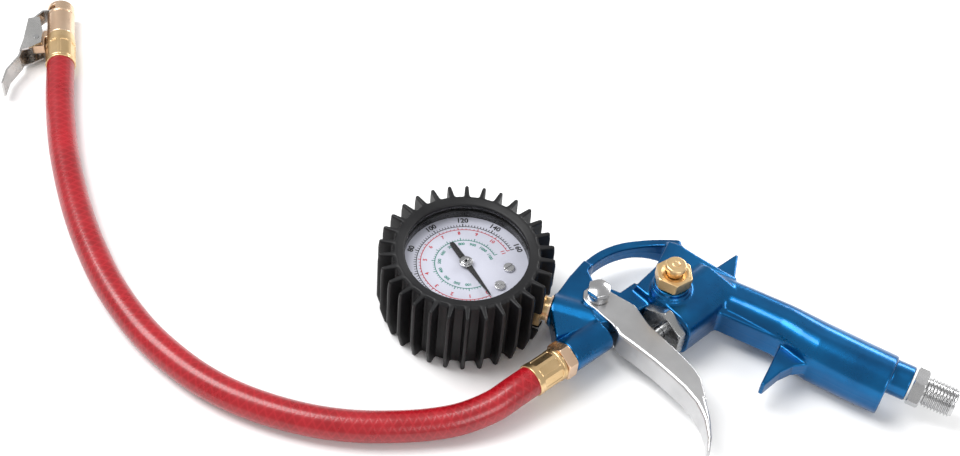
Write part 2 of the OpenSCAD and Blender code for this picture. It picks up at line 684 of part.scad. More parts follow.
module chuck_body() {
    color([0.92, 0.68, 0.5]) in_chuck() difference() {
        union() {
            rotate([0, 90, 0]) pipe(chuck_d / 2, chuck_x0, chuck_x0 + chuck_len);
            translate([lug_x[0], chuck_d / 2 + 0.9, -lug_half]) cube([lug_x[1] - lug_x[0], lug_y - chuck_d / 2 - 0.9, 2 * lug_half]);
            translate([chuck_x0, 3, -lug_half]) cube([lug_x[1] + 2 - chuck_x0, 5, 2 * lug_half]);
        }
        rotate([0, 90, 0]) pipe(4.6 + fit_gap, 0, chuck_x0 + 6.5);
        rotate([0, 90, 0]) pipe(1.6, 0, 60);
        rotate([0, 90, 0]) pipe(mouth_d / 2 + 0.3, chuck_x0 + 8, mouth_x0);
        rotate([0, 90, 0]) pipe(mouth_d / 2, mouth_x0 - 1, 80);
        translate([slit_x[0], mouth_d / 4, -10]) cube([slit_x[1] - slit_x[0], 10, 20]);
        translate([clip_pin_at.x, clip_pin_at.y, 0]) pipe(clip_pin_r + 0.02, -20, 20);
    }
}
module chuck_seal() { color([0.1, 0.1, 0.1]) along_chuck() ring(mouth_d / 2 + 0.25, 1.7, chuck_x0 + 9.2, chuck_x0 + 11); }
module depressor_pin() {
    color([0.88, 0.68, 0.36]) along_chuck() difference() {
        union() {
            pipe(mouth_d / 2 + 0.2, chuck_x0 + 8.05, chuck_x0 + 9.1);
            pipe(1, chuck_x0 + 9, mouth_x0 - 0.2);
        }
        for (k = [0:2]) rotate([0, 0, 120 * k]) translate([2.4, 0, 0]) pipe(0.8, 0, 60);
    }
}
module clip_pin() { color("silver") in_chuck() translate([clip_pin_at.x, clip_pin_at.y, 0]) pipe(clip_pin_r, -clip_half - 0.5, clip_half + 0.5); }
module clip_spring() {
    color("silver") in_chuck() translate([clip_pin_at.x, clip_pin_at.y, lug_half + 0.1]) coil(1.7, 0.25, clip_half - clip_t - lug_half - 0.2, 3);
}
clip_plate = [[36.6, 4.2], [36.6, 8.4], [29.4, 14.6], [14, 16.6], [4, 19], [-5, 24.2], [-14, 26]];
module chuck_clip() {
    color([0.78, 0.78, 0.8]) in_chuck() difference() {
        union() {
            translate([0, 0, -clip_half]) linear_extrude(2 * clip_half) polygon([[29.4, 14.6], [14, 16.6], [7, 18.2],
                [7, 17.2], [14, 15.6], [29, 13.6]]);
            translate([0, 0, -3.6]) linear_extrude(7.2) polygon([[36.6, 4.2], [36.6, 8.4], [29.4, 14.6], [29, 13.6],
                [35.7, 7.9], [35.7, 4.2]]);
            translate([0, 0, -4.4]) linear_extrude(8.8) polygon([[7, 18.2], [4, 19], [-5, 24.2], [-14, 26], [-14, 25.1],
                [-5.4, 23.3], [3.6, 18.1], [7, 17.2]]);
            for (s = [-clip_half, clip_half - clip_t]) translate([0, 0, s]) linear_extrude(clip_t)
                polygon([[29.4, 14.6], [14, 16.6], [7, 18.2], [8, 14], [11.5, 8.4], [20, 7.8], [30, 9.4]]);
        }
        translate([clip_pin_at.x, clip_pin_at.y, 0]) pipe(clip_pin_r + run_gap, -20, 20);
    }
}

body();
inlet_nipple();
inlet_seal();
pivot_bolt();
pivot_collar();
pivot_nut();
lever();
gland_nut();
gland_seal();
valve_seat();
valve_stem();
valve_poppet();
valve_spring();
bleed_nut();
bleed_button();
bleed_seal();
bleed_spring();
gauge_boot();
gauge_case();
gauge_stem();
stem_washer();
bourdon_tube();
movement_frame();
sector_gear();
pointer_arbor();
pointer();
pointer_cap();
dial();
dial_screws();
dial_ring();
lens_gasket();
lens();
bezel_ring();
hose_adaptor();
hose_ferrule();
hose();
chuck_ferrule();
chuck_tail();
chuck_body();
chuck_seal();
depressor_pin();
clip_pin();
clip_spring();
chuck_clip();
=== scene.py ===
import json
import math
import bpy
import numpy as np
import openvdb
from mathutils import Matrix, Vector


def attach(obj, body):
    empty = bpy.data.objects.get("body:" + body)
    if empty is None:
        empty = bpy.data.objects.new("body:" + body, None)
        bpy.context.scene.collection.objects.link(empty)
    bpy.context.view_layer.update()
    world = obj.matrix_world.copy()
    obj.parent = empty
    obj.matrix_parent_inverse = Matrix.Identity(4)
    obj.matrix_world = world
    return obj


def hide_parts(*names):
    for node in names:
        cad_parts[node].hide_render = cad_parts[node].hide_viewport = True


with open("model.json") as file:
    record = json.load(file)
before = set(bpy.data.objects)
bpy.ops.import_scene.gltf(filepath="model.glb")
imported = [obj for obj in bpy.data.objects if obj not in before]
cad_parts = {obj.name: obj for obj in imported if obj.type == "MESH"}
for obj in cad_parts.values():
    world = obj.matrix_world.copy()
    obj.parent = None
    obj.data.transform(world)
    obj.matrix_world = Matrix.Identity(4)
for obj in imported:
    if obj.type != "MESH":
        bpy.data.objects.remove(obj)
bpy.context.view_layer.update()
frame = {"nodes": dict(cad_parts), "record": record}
mm = 0.001


def cosSin(degrees):
    return math.cos(math.radians(degrees)), math.sin(math.radians(degrees))


# places shared by several pieces, in millimetres, as in the CAD part
place = {
    "midZ": 13.0,            # the gun's middle plane
    "gun": (37.2654, 6.9068),  # the gauge port's face, where the gun's own axes start
    "portDir": 10.5,
    "pivot": (15.4, 11.7),   # in the gun's axes, like the five below
    "valve": (45.4, 17.1),
    "valveDir": 250.0,
    "bleed": (40.5, 27.9),
    "hoseBoss": (16.3, -18.5),
    "hoseDir": 248.0,
    "chuck": (-229.0, 23.0, 7.0),
    "chuckDir": 128.0,
}

# camera: place in metres, its view direction and its right-hand side
cameraFacts = {
    "lens": 55.5, "sensor": 36.0, "near": 0.01,
    "at": (0.1612, -0.3585, 0.4927),
    "forward": (-0.2656, 0.6081, -0.748),
    "right": (0.8809, 0.4684, 0.068),
}


def addCamera(facts):
    forward = Vector(facts["forward"]).normalized()
    right = Vector(facts["right"])
    right = (right - forward * right.dot(forward)).normalized()
    up = right.cross(forward)
    data = bpy.data.cameras.new("camera")
    data.lens = facts["lens"]
    data.sensor_width = facts["sensor"]
    data.clip_start = facts["near"]
    camera = bpy.data.objects.new("camera", data)
    camera.matrix_world = Matrix((
        (right.x, up.x, -forward.x, facts["at"][0]),
        (right.y, up.y, -forward.y, facts["at"][1]),
        (right.z, up.z, -forward.z, facts["at"][2]),
        (0, 0, 0, 1)))
    bpy.context.scene.collection.objects.link(camera)
    bpy.context.scene.camera = camera


addCamera(cameraFacts)
print("camera set")


# shared node groups: they give colours, masks, values and normals only
def newGroup(name, inputs, output, outputKind):
    # a socket's kind follows from its value: a number, three numbers or a colour's four
    group = bpy.data.node_groups.new(name, "ShaderNodeTree")
    kinds = {1: "Float", 3: "Vector", 4: "Color"}
    for label, value in inputs.items():
        kind = "NodeSocket" + kinds[np.size(value)]
        group.interface.new_socket(label, in_out="INPUT", socket_type=kind).default_value = value
    group.interface.new_socket(output, in_out="OUTPUT", socket_type="NodeSocket" + outputKind)
    return group, group.nodes.new("NodeGroupInput").outputs, group.nodes.new("NodeGroupOutput").inputs[output]


def feed(tree, socket, value):
    # a socket takes a plain value or another node's output
    if isinstance(value, bpy.types.NodeSocket):
        tree.links.new(value, socket)
    else:
        socket.default_value = value


def feedAll(tree, node, **values):
    # an underscore in a key stands for the space in the input's name
    for label, value in values.items():
        feed(tree, node.inputs[label.replace("_", " ")], value)


def addMath(tree, operation, *values, kind="ShaderNodeMath"):
    node = tree.nodes.new(kind)
    node.operation = operation
    for i, value in enumerate(values):
        feed(tree, node.inputs[i], value)
    return node.outputs[0]


def addNoise(tree, vector, scale, detail):
    node = tree.nodes.new("ShaderNodeTexNoise")
    feedAll(tree, node, Detail=detail, Scale=scale, Vector=vector)
    return node.outputs["Fac"]


def addRange(tree, *values):
    # the value, its lowest and highest, and what they become
    node = tree.nodes.new("ShaderNodeMapRange")
    for i, value in enumerate(values):
        feed(tree, node.inputs[i], value)
    return node.outputs[0]


def addMix(tree, share, first, second):
    # the inputs numbered 6 and 7 are the two colours
    node = tree.nodes.new("ShaderNodeMix")
    node.data_type = "RGBA"
    for i, value in ((0, share), (6, first), (7, second)):
        feed(tree, node.inputs[i], value)
    return node.outputs[2]


def addBump(tree, **values):
    node = tree.nodes.new("ShaderNodeBump")
    feedAll(tree, node, **values)
    return node.outputs["Normal"]


noiseSpan = (0.35, 0.65)  # the part of a noise's range that is stretched to full


def makeSmudge():
    # slow patches mixed with fine specks, between Low and High
    fineTimes, fineShare = 14.0, 0.3
    group, given, out = newGroup("smudge", {"Vector": (0, 0, 0), "Scale": 60.0, "Low": 0.2, "High": 0.4},
                                 "Value", "Float")
    slow = addNoise(group, given["Vector"], given["Scale"], 4.0)
    fine = addNoise(group, given["Vector"], addMath(group, "MULTIPLY", given["Scale"], fineTimes), 2.0)
    both = addMath(group, "MULTIPLY_ADD", fine, fineShare, addMath(group, "MULTIPLY", slow, 1 - fineShare))
    feed(group, out, addRange(group, both, *noiseSpan, given["Low"], given["High"]))
    return group


def makeGrain():
    # bumps of one size; Stretch squeezes them into brush lines
    group, given, out = newGroup("grain", {"Vector": (0, 0, 0), "Scale": 900.0, "Stretch": (1, 1, 1),
                                           "Strength": 0.2, "Depth": 0.0001}, "Normal", "Vector")
    vector = addMath(group, "MULTIPLY", given["Vector"], given["Stretch"], kind="ShaderNodeVectorMath")
    noise = addNoise(group, vector, given["Scale"], 3.0)
    feed(group, out, addBump(group, Strength=given["Strength"], Distance=given["Depth"], Height=noise))
    return group


def makeTint():
    # moves a colour a little lighter and darker in patches
    group, given, out = newGroup("tint", {"Vector": (0, 0, 0), "Scale": 80.0, "Dark": (0.1, 0.1, 0.1, 1),
                                          "Light": (0.2, 0.2, 0.2, 1)}, "Color", "Color")
    noise = addNoise(group, given["Vector"], given["Scale"], 4.0)
    feed(group, out, addMix(group, addRange(group, noise, *noiseSpan, 0.0, 1.0), given["Dark"], given["Light"]))
    return group


groups = {"smudge": makeSmudge(), "grain": makeGrain(), "tint": makeTint()}


def useGroup(tree, name, vector, **values):
    node = tree.nodes.new("ShaderNodeGroup")
    node.node_tree = groups[name]
    feedAll(tree, node, Vector=vector, **values)
    return node.outputs[0]


def newMaterial(name):
    material = bpy.data.materials.new(name)
    material.use_nodes = True
    tree = material.node_tree
    shader = tree.nodes["Principled BSDF"]
    vector = tree.nodes.new("ShaderNodeTexCoord").outputs["Object"]
    return material, tree, shader, vector


materials = {}


def addPlain(slot, dark, light, metallic=0.0, rough=(0.3, 0.45), grain=(900.0, 0.15, 0.00005),
             stretch=(1, 1, 1), smudgeScale=70.0, specular=0.5, alpha=1.0):
    # rough is (least, most); grain is (scale, strength, depth in metres)
    first, _, second = slot.partition("_")
    material, tree, shader, vector = newMaterial(first + second.title())
    tint = useGroup(tree, "tint", vector, Scale=90.0, Dark=(*dark, 1), Light=(*light, 1))
    smudge = useGroup(tree, "smudge", vector, Scale=smudgeScale, Low=rough[0], High=rough[1])
    bump = useGroup(tree, "grain", vector, Scale=grain[0], Strength=grain[1], Depth=grain[2], Stretch=stretch)
    feedAll(tree, shader, Base_Color=tint, Roughness=smudge, Normal=bump, Metallic=metallic,
            Specular_IOR_Level=specular, Alpha=alpha)
    materials[slot] = material


# finishes: darkest and lightest colour, metallic or not, then the roughness span and the grain
addPlain("plated_steel", (0.52, 0.52, 0.53), (0.6, 0.6, 0.6), 1.0, (0.18, 0.26))
addPlain("lever_steel", (0.52, 0.52, 0.525), (0.58, 0.58, 0.585), 1.0, (0.26, 0.32),
         (500.0, 0.12, 0.00003), (0.15, 1.0, 1.0), smudgeScale=30.0)
addPlain("zinc_plate", (0.42, 0.43, 0.43), (0.52, 0.52, 0.51), 1.0, (0.2, 0.3))
addPlain("clip_steel", (0.56, 0.555, 0.545), (0.64, 0.63, 0.62), 1.0, (0.22, 0.32))
addPlain("spring_steel", (0.4, 0.4, 0.42), (0.6, 0.6, 0.62), 1.0, (0.25, 0.4))
addPlain("bright_cap", (0.55, 0.55, 0.56), (0.62, 0.62, 0.63), 1.0, (0.16, 0.22), (300.0, 0.03, 0.00001))
addPlain("yellow_brass", (0.7, 0.48, 0.24), (0.8, 0.58, 0.32), 1.0, (0.26, 0.36), (1200.0, 0.15, 0.00002))
addPlain("rose_brass", (0.78, 0.54, 0.37), (0.86, 0.64, 0.46), 1.0, (0.26, 0.36), (1200.0, 0.15, 0.00002))
addPlain("bronze", (0.5, 0.34, 0.16), (0.65, 0.45, 0.25), 1.0, (0.3, 0.45))
addPlain("boot_rubber", (0.005, 0.005, 0.006), (0.01, 0.01, 0.011), 0.0, (0.4, 0.52),
         (1500.0, 0.3, 0.00006), specular=0.28)
addPlain("seal_rubber", (0.01, 0.01, 0.01), (0.02, 0.02, 0.02), 0.0, (0.5, 0.65))
addPlain("case_black", (0.015, 0.015, 0.016), (0.03, 0.03, 0.03), 0.0, (0.3, 0.4))
addPlain("pointer_black", (0.01, 0.01, 0.011), (0.02, 0.02, 0.02), 0.0, (0.35, 0.45))
addPlain("dial_white", (0.56, 0.57, 0.66), (0.59, 0.6, 0.69), 0.0, (0.35, 0.42), (400.0, 0.05, 0.00002))
addPlain("bezel_plastic", (0.012, 0.012, 0.013), (0.022, 0.022, 0.023), 0.0, (0.22, 0.34))
addPlain("thread_seal", (0.75, 0.75, 0.72), (0.85, 0.85, 0.83), 0.0, (0.5, 0.6))
addPlain("lens_clear", (0.02, 0.02, 0.022), (0.03, 0.03, 0.032), 0.0, (0.01, 0.03),
         (300.0, 0.02, 0.00001), alpha=0.05)
addPlain("screw_steel", (0.6, 0.6, 0.61), (0.7, 0.7, 0.71), 1.0, (0.2, 0.34))
addPlain("black_print", (0.012, 0.012, 0.013), (0.02, 0.02, 0.02), 0.0, (0.4, 0.5))
addPlain("red_print", (0.45, 0.015, 0.03), (0.52, 0.025, 0.04), 0.0, (0.4, 0.5))
addPlain("green_print", (0.004, 0.17, 0.12), (0.008, 0.22, 0.16), 0.0, (0.4, 0.5))


def makeEnamel():
    # candy blue: a clear coat over a metallic colour
    material, tree, shader, vector = newMaterial("blueEnamel")
    tint = useGroup(tree, "tint", vector, Scale=45.0, Dark=(0.0, 0.075, 0.215, 1), Light=(0.001, 0.125, 0.33, 1))
    smudge = useGroup(tree, "smudge", vector, Scale=60.0, Low=0.26, High=0.34)
    bump = useGroup(tree, "grain", vector, Scale=260.0, Strength=0.1, Depth=0.0001)
    feedAll(tree, shader, Base_Color=tint, Roughness=smudge, Normal=bump, Metallic=0.9, Coat_Weight=0.3,
            Coat_Roughness=0.05)
    return material


materials["casting_blue"] = makeEnamel()

hoseSkinFacts = {
    "pitch": 0.0038,  # of the braid, in metres along the hose
    "turns": 6,
    "dark": (0.24, 0.002, 0.006, 1), "light": (0.33, 0.004, 0.01, 1), "thread": (0.5, 0.02, 0.03, 1),
    "threadFrom": 0.55, "threadShare": 0.32,
    "bumpStrength": 0.2, "bumpDepth": 0.00012,
}


def makeHoseSkin(facts):
    # red plastic over a braid: two sets of helices
    material, tree, shader, vector = newMaterial("hoseSkin")
    uv = tree.nodes.new("ShaderNodeUVMap")
    uv.uv_map = "along"
    split = tree.nodes.new("ShaderNodeSeparateXYZ")
    feed(tree, split.inputs[0], uv.outputs["UV"])
    along = addMath(tree, "MULTIPLY", split.outputs["X"], 2 * math.pi / facts["pitch"])
    around = addMath(tree, "MULTIPLY", split.outputs["Y"], 2 * math.pi * facts["turns"])
    one = addMath(tree, "SINE", addMath(tree, "ADD", along, around))
    two = addMath(tree, "SINE", addMath(tree, "SUBTRACT", along, around))
    mask = addRange(tree, addMath(tree, "MAXIMUM", one, two), facts["threadFrom"], 1.0, 0.0, 1.0)
    patch = useGroup(tree, "tint", vector, Scale=60.0, Dark=facts["dark"], Light=facts["light"])
    color = addMix(tree, addMath(tree, "MULTIPLY", mask, facts["threadShare"]), patch, facts["thread"])
    smudge = useGroup(tree, "smudge", vector, Scale=90.0, Low=0.26, High=0.36)
    bump = addBump(tree, Strength=facts["bumpStrength"], Distance=facts["bumpDepth"], Height=mask)
    feedAll(tree, shader, Base_Color=color, Roughness=smudge, Normal=bump, Coat_Weight=0.2, Coat_Roughness=0.12)
    return material


print("materials made")


# meshes
def newPiece(name, points, faces, material, body, replaced=(), uv=None, normals=None, smooth=True):
    mesh = bpy.data.meshes.new(name)
    mesh.from_pydata(np.asarray(points, dtype=float).tolist(), [], np.asarray(faces).tolist())
    mesh.update()
    if uv is not None:
        layer = mesh.uv_layers.new(name="along")
        corners = np.empty(len(mesh.loops), dtype=np.int32)
        mesh.loops.foreach_get("vertex_index", corners)
        layer.data.foreach_set("uv", np.asarray(uv, dtype=np.float32)[corners].ravel())
    if smooth:
        mesh.polygons.foreach_set("use_smooth", np.ones(len(mesh.polygons), dtype=bool))
    if normals is not None:
        mesh.normals_split_custom_set_from_vertices(normals.tolist())
    mesh.materials.append(material)
    piece = bpy.data.objects.new(name, mesh)
    bpy.context.scene.collection.objects.link(piece)
    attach(piece, body)
    if replaced:
        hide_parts(*replaced)
    return piece


# hose: its route in millimetres, from inside the gun's ferrule to inside the chuck's
hoseFacts = {
    "route": [(48.6, -24, 13), (46.4, -29.4, 13), (43, -37, 12.2), (38, -46.5, 10), (29.5, -56.5, 7.8),
              (19, -65, 6.6), (7.8, -72.6, 6.5), (-3.7, -79.2, 6.5), (-15.9, -84.5, 6.5), (-28.8, -88.4, 6.5),
              (-42.2, -91, 6.5), (-56.1, -92.2, 6.5), (-70.4, -91.6, 6.5), (-85.2, -89, 6.5), (-100.4, -84.8, 6.5),
              (-115.8, -78.4, 6.5), (-131.3, -70.2, 6.5), (-146.7, -60, 6.5), (-162.2, -48.3, 6.5),
              (-177.5, -35, 6.5), (-192.7, -20.4, 6.5), (-205, -7, 6.6), (-217, 7.3, 6.8), (-229, 23, 7),
              (-233.3, 28.5, 7)],
    "radius": 6.38,
    "sides": 56,
    "steps": 10,  # between two route points
}


def splineThrough(points, steps):
    # Catmull-Rom curve: half of (2b + (c-a)t + (2a-5b+4c-d)t^2 + (3b-a-3c+d)t^3)
    p = np.asarray(points, dtype=float)
    q = np.vstack([p[:1], p, p[-1:]])
    t = (np.arange(steps) / steps)[None, :, None]
    a, b, c, d = (q[i:len(q) - 3 + i, None, :] for i in range(4))
    body = 0.5 * (2 * b + (c - a) * t + (2 * a - 5 * b + 4 * c - d) * t ** 2 + (3 * b - a - 3 * c + d) * t ** 3)
    return np.vstack([body.reshape(-1, 3), p[-1:]])


def sweepTube(line, radius, sides):
    # rings of a round tube along a line, then their uv: length in metres and turn from 0 to 1
    tangent = np.gradient(line, axis=0)
    tangent /= np.linalg.norm(tangent, axis=1)[:, None]
    side = np.cross(tangent, (0, 0, 1))
    side /= np.linalg.norm(side, axis=1)[:, None]
    up = np.cross(side, tangent)
    turn = np.linspace(0, 2 * np.pi, sides + 1)
    rings = line[:, None, :] + radius * (np.cos(turn)[None, :, None] * side[:, None, :]
                                         + np.sin(turn)[None, :, None] * up[:, None, :])
    run = np.concatenate([[0], np.cumsum(np.linalg.norm(np.diff(line, axis=0), axis=1))])
    uv = np.stack(np.broadcast_arrays(run[:, None], turn[None, :] / (2 * np.pi)), axis=-1)
    return rings.reshape(-1, 3), gridFaces(len(line), sides + 1), uv.reshape(-1, 2)


def gridFaces(rows, columns):
    i, j = np.meshgrid(np.arange(rows - 1), np.arange(columns - 1), indexing="ij")
    a = (i * columns + j).ravel()
    return np.stack([a, a + 1, a + columns + 1, a + columns], axis=1)


hoseLine = splineThrough(hoseFacts["route"], hoseFacts["steps"]) * mm
hosePoints, hoseFaces, hoseUv = sweepTube(hoseLine, hoseFacts["radius"] * mm, hoseFacts["sides"])
hose = newPiece("hoseTube", hosePoints, hoseFaces, makeHoseSkin(hoseSkinFacts), "gun", ["hose"],
                uv=hoseUv)


# distance fields: negative inside, in millimetres, as whole arrays
# each piece's grid is (lowest corner, highest corner, step)
def smoothMin(a, b, k):
    # joins two shapes with a fillet of about k
    h = np.clip(0.5 + 0.5 * (b - a) / k, 0, 1)
    return b + (a - b) * h - k * h * (1 - h)


def smoothMax(a, b, k):
    return -smoothMin(-a, -b, k)


def polygonField(x, y, points):
    # distance to the nearest edge, negative where a ray crosses the outline an odd number of times
    p = np.asarray(points, dtype=np.float32)
    best = np.full(np.broadcast(x, y).shape, 1e9, dtype=np.float32)
    inside = np.zeros(best.shape, dtype=bool)
    for a, b in zip(p, np.roll(p, -1, axis=0)):
        ex, ey = b - a
        wx, wy = x - a[0], y - a[1]
        t = np.clip((wx * ex + wy * ey) / (ex * ex + ey * ey), 0, 1)
        best = np.minimum(best, (wx - ex * t) ** 2 + (wy - ey * t) ** 2)
        crosses = (a[1] > y) != (b[1] > y)
        if ey != 0:
            inside ^= crosses & (x < (ex * (y - a[1]) / ey + a[0]))
    return np.where(inside, -1, 1) * np.sqrt(best)


def roundMeet(a, b, edge):
    # the inside of both fields, with the corner between them rounded by edge
    a, b = a + edge, b + edge
    return np.minimum(np.maximum(a, b), 0) + np.hypot(np.maximum(a, 0), np.maximum(b, 0)) - edge


def thick(flat, z, low, high, edge):
    # a flat outline given a height
    return roundMeet(flat, np.abs(z - 0.5 * (low + high)) - 0.5 * (high - low), edge)


def boxField(u, w, halfU, halfW, corner):
    return roundMeet(np.abs(u) - halfU, np.abs(w) - halfW, corner)


def hexField(u, w, acrossFlats):
    return np.max([np.abs(u * c + w * s) for c, s in map(cosSin, (0, 60, 120))], axis=0) - acrossFlats / 2


def newGrid(low, high, step):
    axes = [np.arange(a, b + step, step, dtype=np.float32) for a, b in zip(low, high)]
    shaped = [axes[0][:, None, None], axes[1][None, :, None], axes[2][None, None, :]]
    return {"low": np.array(low, dtype=float), "step": step, "axes": shaped,
            "shape": tuple(len(a) for a in axes)}


def sampleField(field, at):
    # straight-line interpolation between the eight cells round each point
    at = np.clip(at, 0, np.array(field.shape) - 1.001)
    i = at.astype(np.int32)
    f = (at - i).astype(np.float32)
    total = 0
    for dx in (0, 1):
        for dy in (0, 1):
            for dz in (0, 1):
                u, v, w = (f[:, k] if d else 1 - f[:, k] for k, d in enumerate((dx, dy, dz)))
                total = total + u * v * w * field[i[:, 0] + dx, i[:, 1] + dy, i[:, 2] + dz]
    return total


def skinOf(field, grid):
    # surface where the field is zero, and the field's slope there as the normal
    outside, farthest, slopeStep = 0.5, 3.0, 0.7
    field = np.broadcast_to(field, grid["shape"]).astype(np.float32)
    for axis in range(3):
        ends = np.moveaxis(field, axis, 0)
        ends[[0, -1]] = np.maximum(ends[[0, -1]], outside)
    volume = openvdb.FloatGrid(farthest)
    volume.copyFromArray(np.clip(field, -farthest, farthest))
    points, quads = volume.convertToQuads(0.0)
    points = np.asarray(points, dtype=float)
    slope = np.stack([sampleField(field, points + s) - sampleField(field, points - s)
                      for s in slopeStep * np.eye(3)], axis=1)
    slope /= np.maximum(np.linalg.norm(slope, axis=1), 1e-9)[:, None]
    quads = np.asarray(quads, dtype=np.int64)
    a, b, c = (points[quads[:, k]] for k in range(3))
    facing = (np.cross(b - a, c - b) * slope[quads[:, 0]]).sum(axis=1)
    if np.median(facing) < 0:
        quads = quads[:, ::-1]
    return points * grid["step"] + grid["low"], quads, slope


def fieldPiece(name, field, facts, body, slot, replaced, atPlace=((0, 0, 0), np.eye(3)), look=None):
    # atPlace is (origin in mm, 3x3 with the local axes as columns)
    grid = newGrid(*facts["grid"])
    points, quads, slope = skinOf(field(*grid["axes"], facts), grid)
    origin, turn = atPlace
    points = points @ np.asarray(turn).T + np.asarray(origin)
    slope = slope @ np.asarray(turn).T
    piece = newPiece(name, points * mm, quads, materials[look or slot], body, replaced, normals=slope)
    print(name, len(quads), "quads")
    return piece


def away(direction):
    # axes for a piece whose local z points along a direction in the middle plane and local x points down
    c, s = cosSin(direction)
    return np.array([[0, -s, c], [0, c, s], [-1, 0, 0]], dtype=float)


def along(x, y, z, at, direction):
    # distance along a line in the middle plane, sideways distance and height
    c, s = cosSin(direction)
    return (x - at[0]) * c + (y - at[1]) * s, -(x - at[0]) * s + (y - at[1]) * c, z


def bossField(x, y, z, at, direction, radius, start, end, edge=0.6):
    run, side, up = along(x, y, z, at, direction)
    return thick(np.hypot(side, up) - radius, run, start, end, edge)


# gun casting, in the gun's own axes with z from the middle plane
castingFacts = {
    "grid": ((-3, -37.5, -14), (144.5, 68, 15), 0.52), "softness": 1.6,
    "archAt": (38, 21), "archRadius": 37, "archWidth": 4, "archHalf": 3.5, "archGrowth": 3.6,
    "archEnds": [(-8, 20), (-8, 66), (27, 66), (36, 54), (34, 40), (8, 24)],
    "bridgeHalf": 4.7, "blockHalf": 8, "spurHalf": 3.5, "webHalf": 6, "bossHalf": 5.6,
    "portRadius": 6.75, "portLength": 21, "hoseBossRadius": 7.2, "hoseBossLength": 19.5,
    "earRadius": 7, "cheekRadius": 7.4, "pivotBore": 2.6, "portBore": 4.9,
    "barrelHalf": (11, 11.5), "barrelCorner": 7.4, "barrelLength": 30, "chamberRadius": 8.1,
    "turretRadius": 8.3, "turretTop": 12.6, "collarRadius": 7.6, "collarTop": 15, "turretBore": 5.1,
    "inletY": 41.5, "neckRadius": 7.35, "inletBore": 5.3, "seam": 0.07,
    "head": [(-0.6, 4), (0, 17), (1.6, 28), (5.6, 27), (5.2, 24), (10, 19.5), (22, 20), (25, 28), (40, 27),
             (35, 19), (30, 11.5), (25.4, 4.3), (16, -2), (6, 0)],
    "bosses": [(0.6, 0), (1.4, -4), (9.6, -15.8), (14, -9), (24, 4), (16, 6)],
    "slot": [(15, 4.6), (24, -1.6), (60, -10), (60, 30), (16, 30)],
    "block": [(26.6, 23.9), (29.8, 38.1), (29.4, 48.4), (29, 54), (35, 54.5), (43.3, 52.8), (53.7, 51.2),
              (62, 50.2), (62, 38), (60, 28), (50, 15), (36, 20.6)],
    "thumb": [(50, 51), (56.2, 66), (57.4, 66.2), (61.8, 50), (58, 46)],
    "finger": [(90, 30.2), (90, 7.5), (91.6, 7.3), (95, 17), (98.5, 22.5), (103, 26), (101, 36), (90, 36)],
    "web": [(50, 30.2), (95, 30.2), (95, 42), (50, 42)],
    # the grip's bar at stations along x: front edge, back edge, half thickness and corner radius
    "gripX": (50, 70, 87, 91, 96, 104, 120, 135),
    "gripFront": (34, 33, 31.2, 30, 28.2, 25.9, 24.7, 24.5),
    "gripBack": (49.6, 49.4, 49.1, 48.9, 48.7, 48.4, 47.9, 47.3),
    "gripHalf": (9.2, 10.4, 11.6, 12, 12.4, 12.8, 13, 13),
    "gripCorner": (5.5, 6.2, 7.2, 7.8, 8.8, 10, 10.8, 10.8),
}


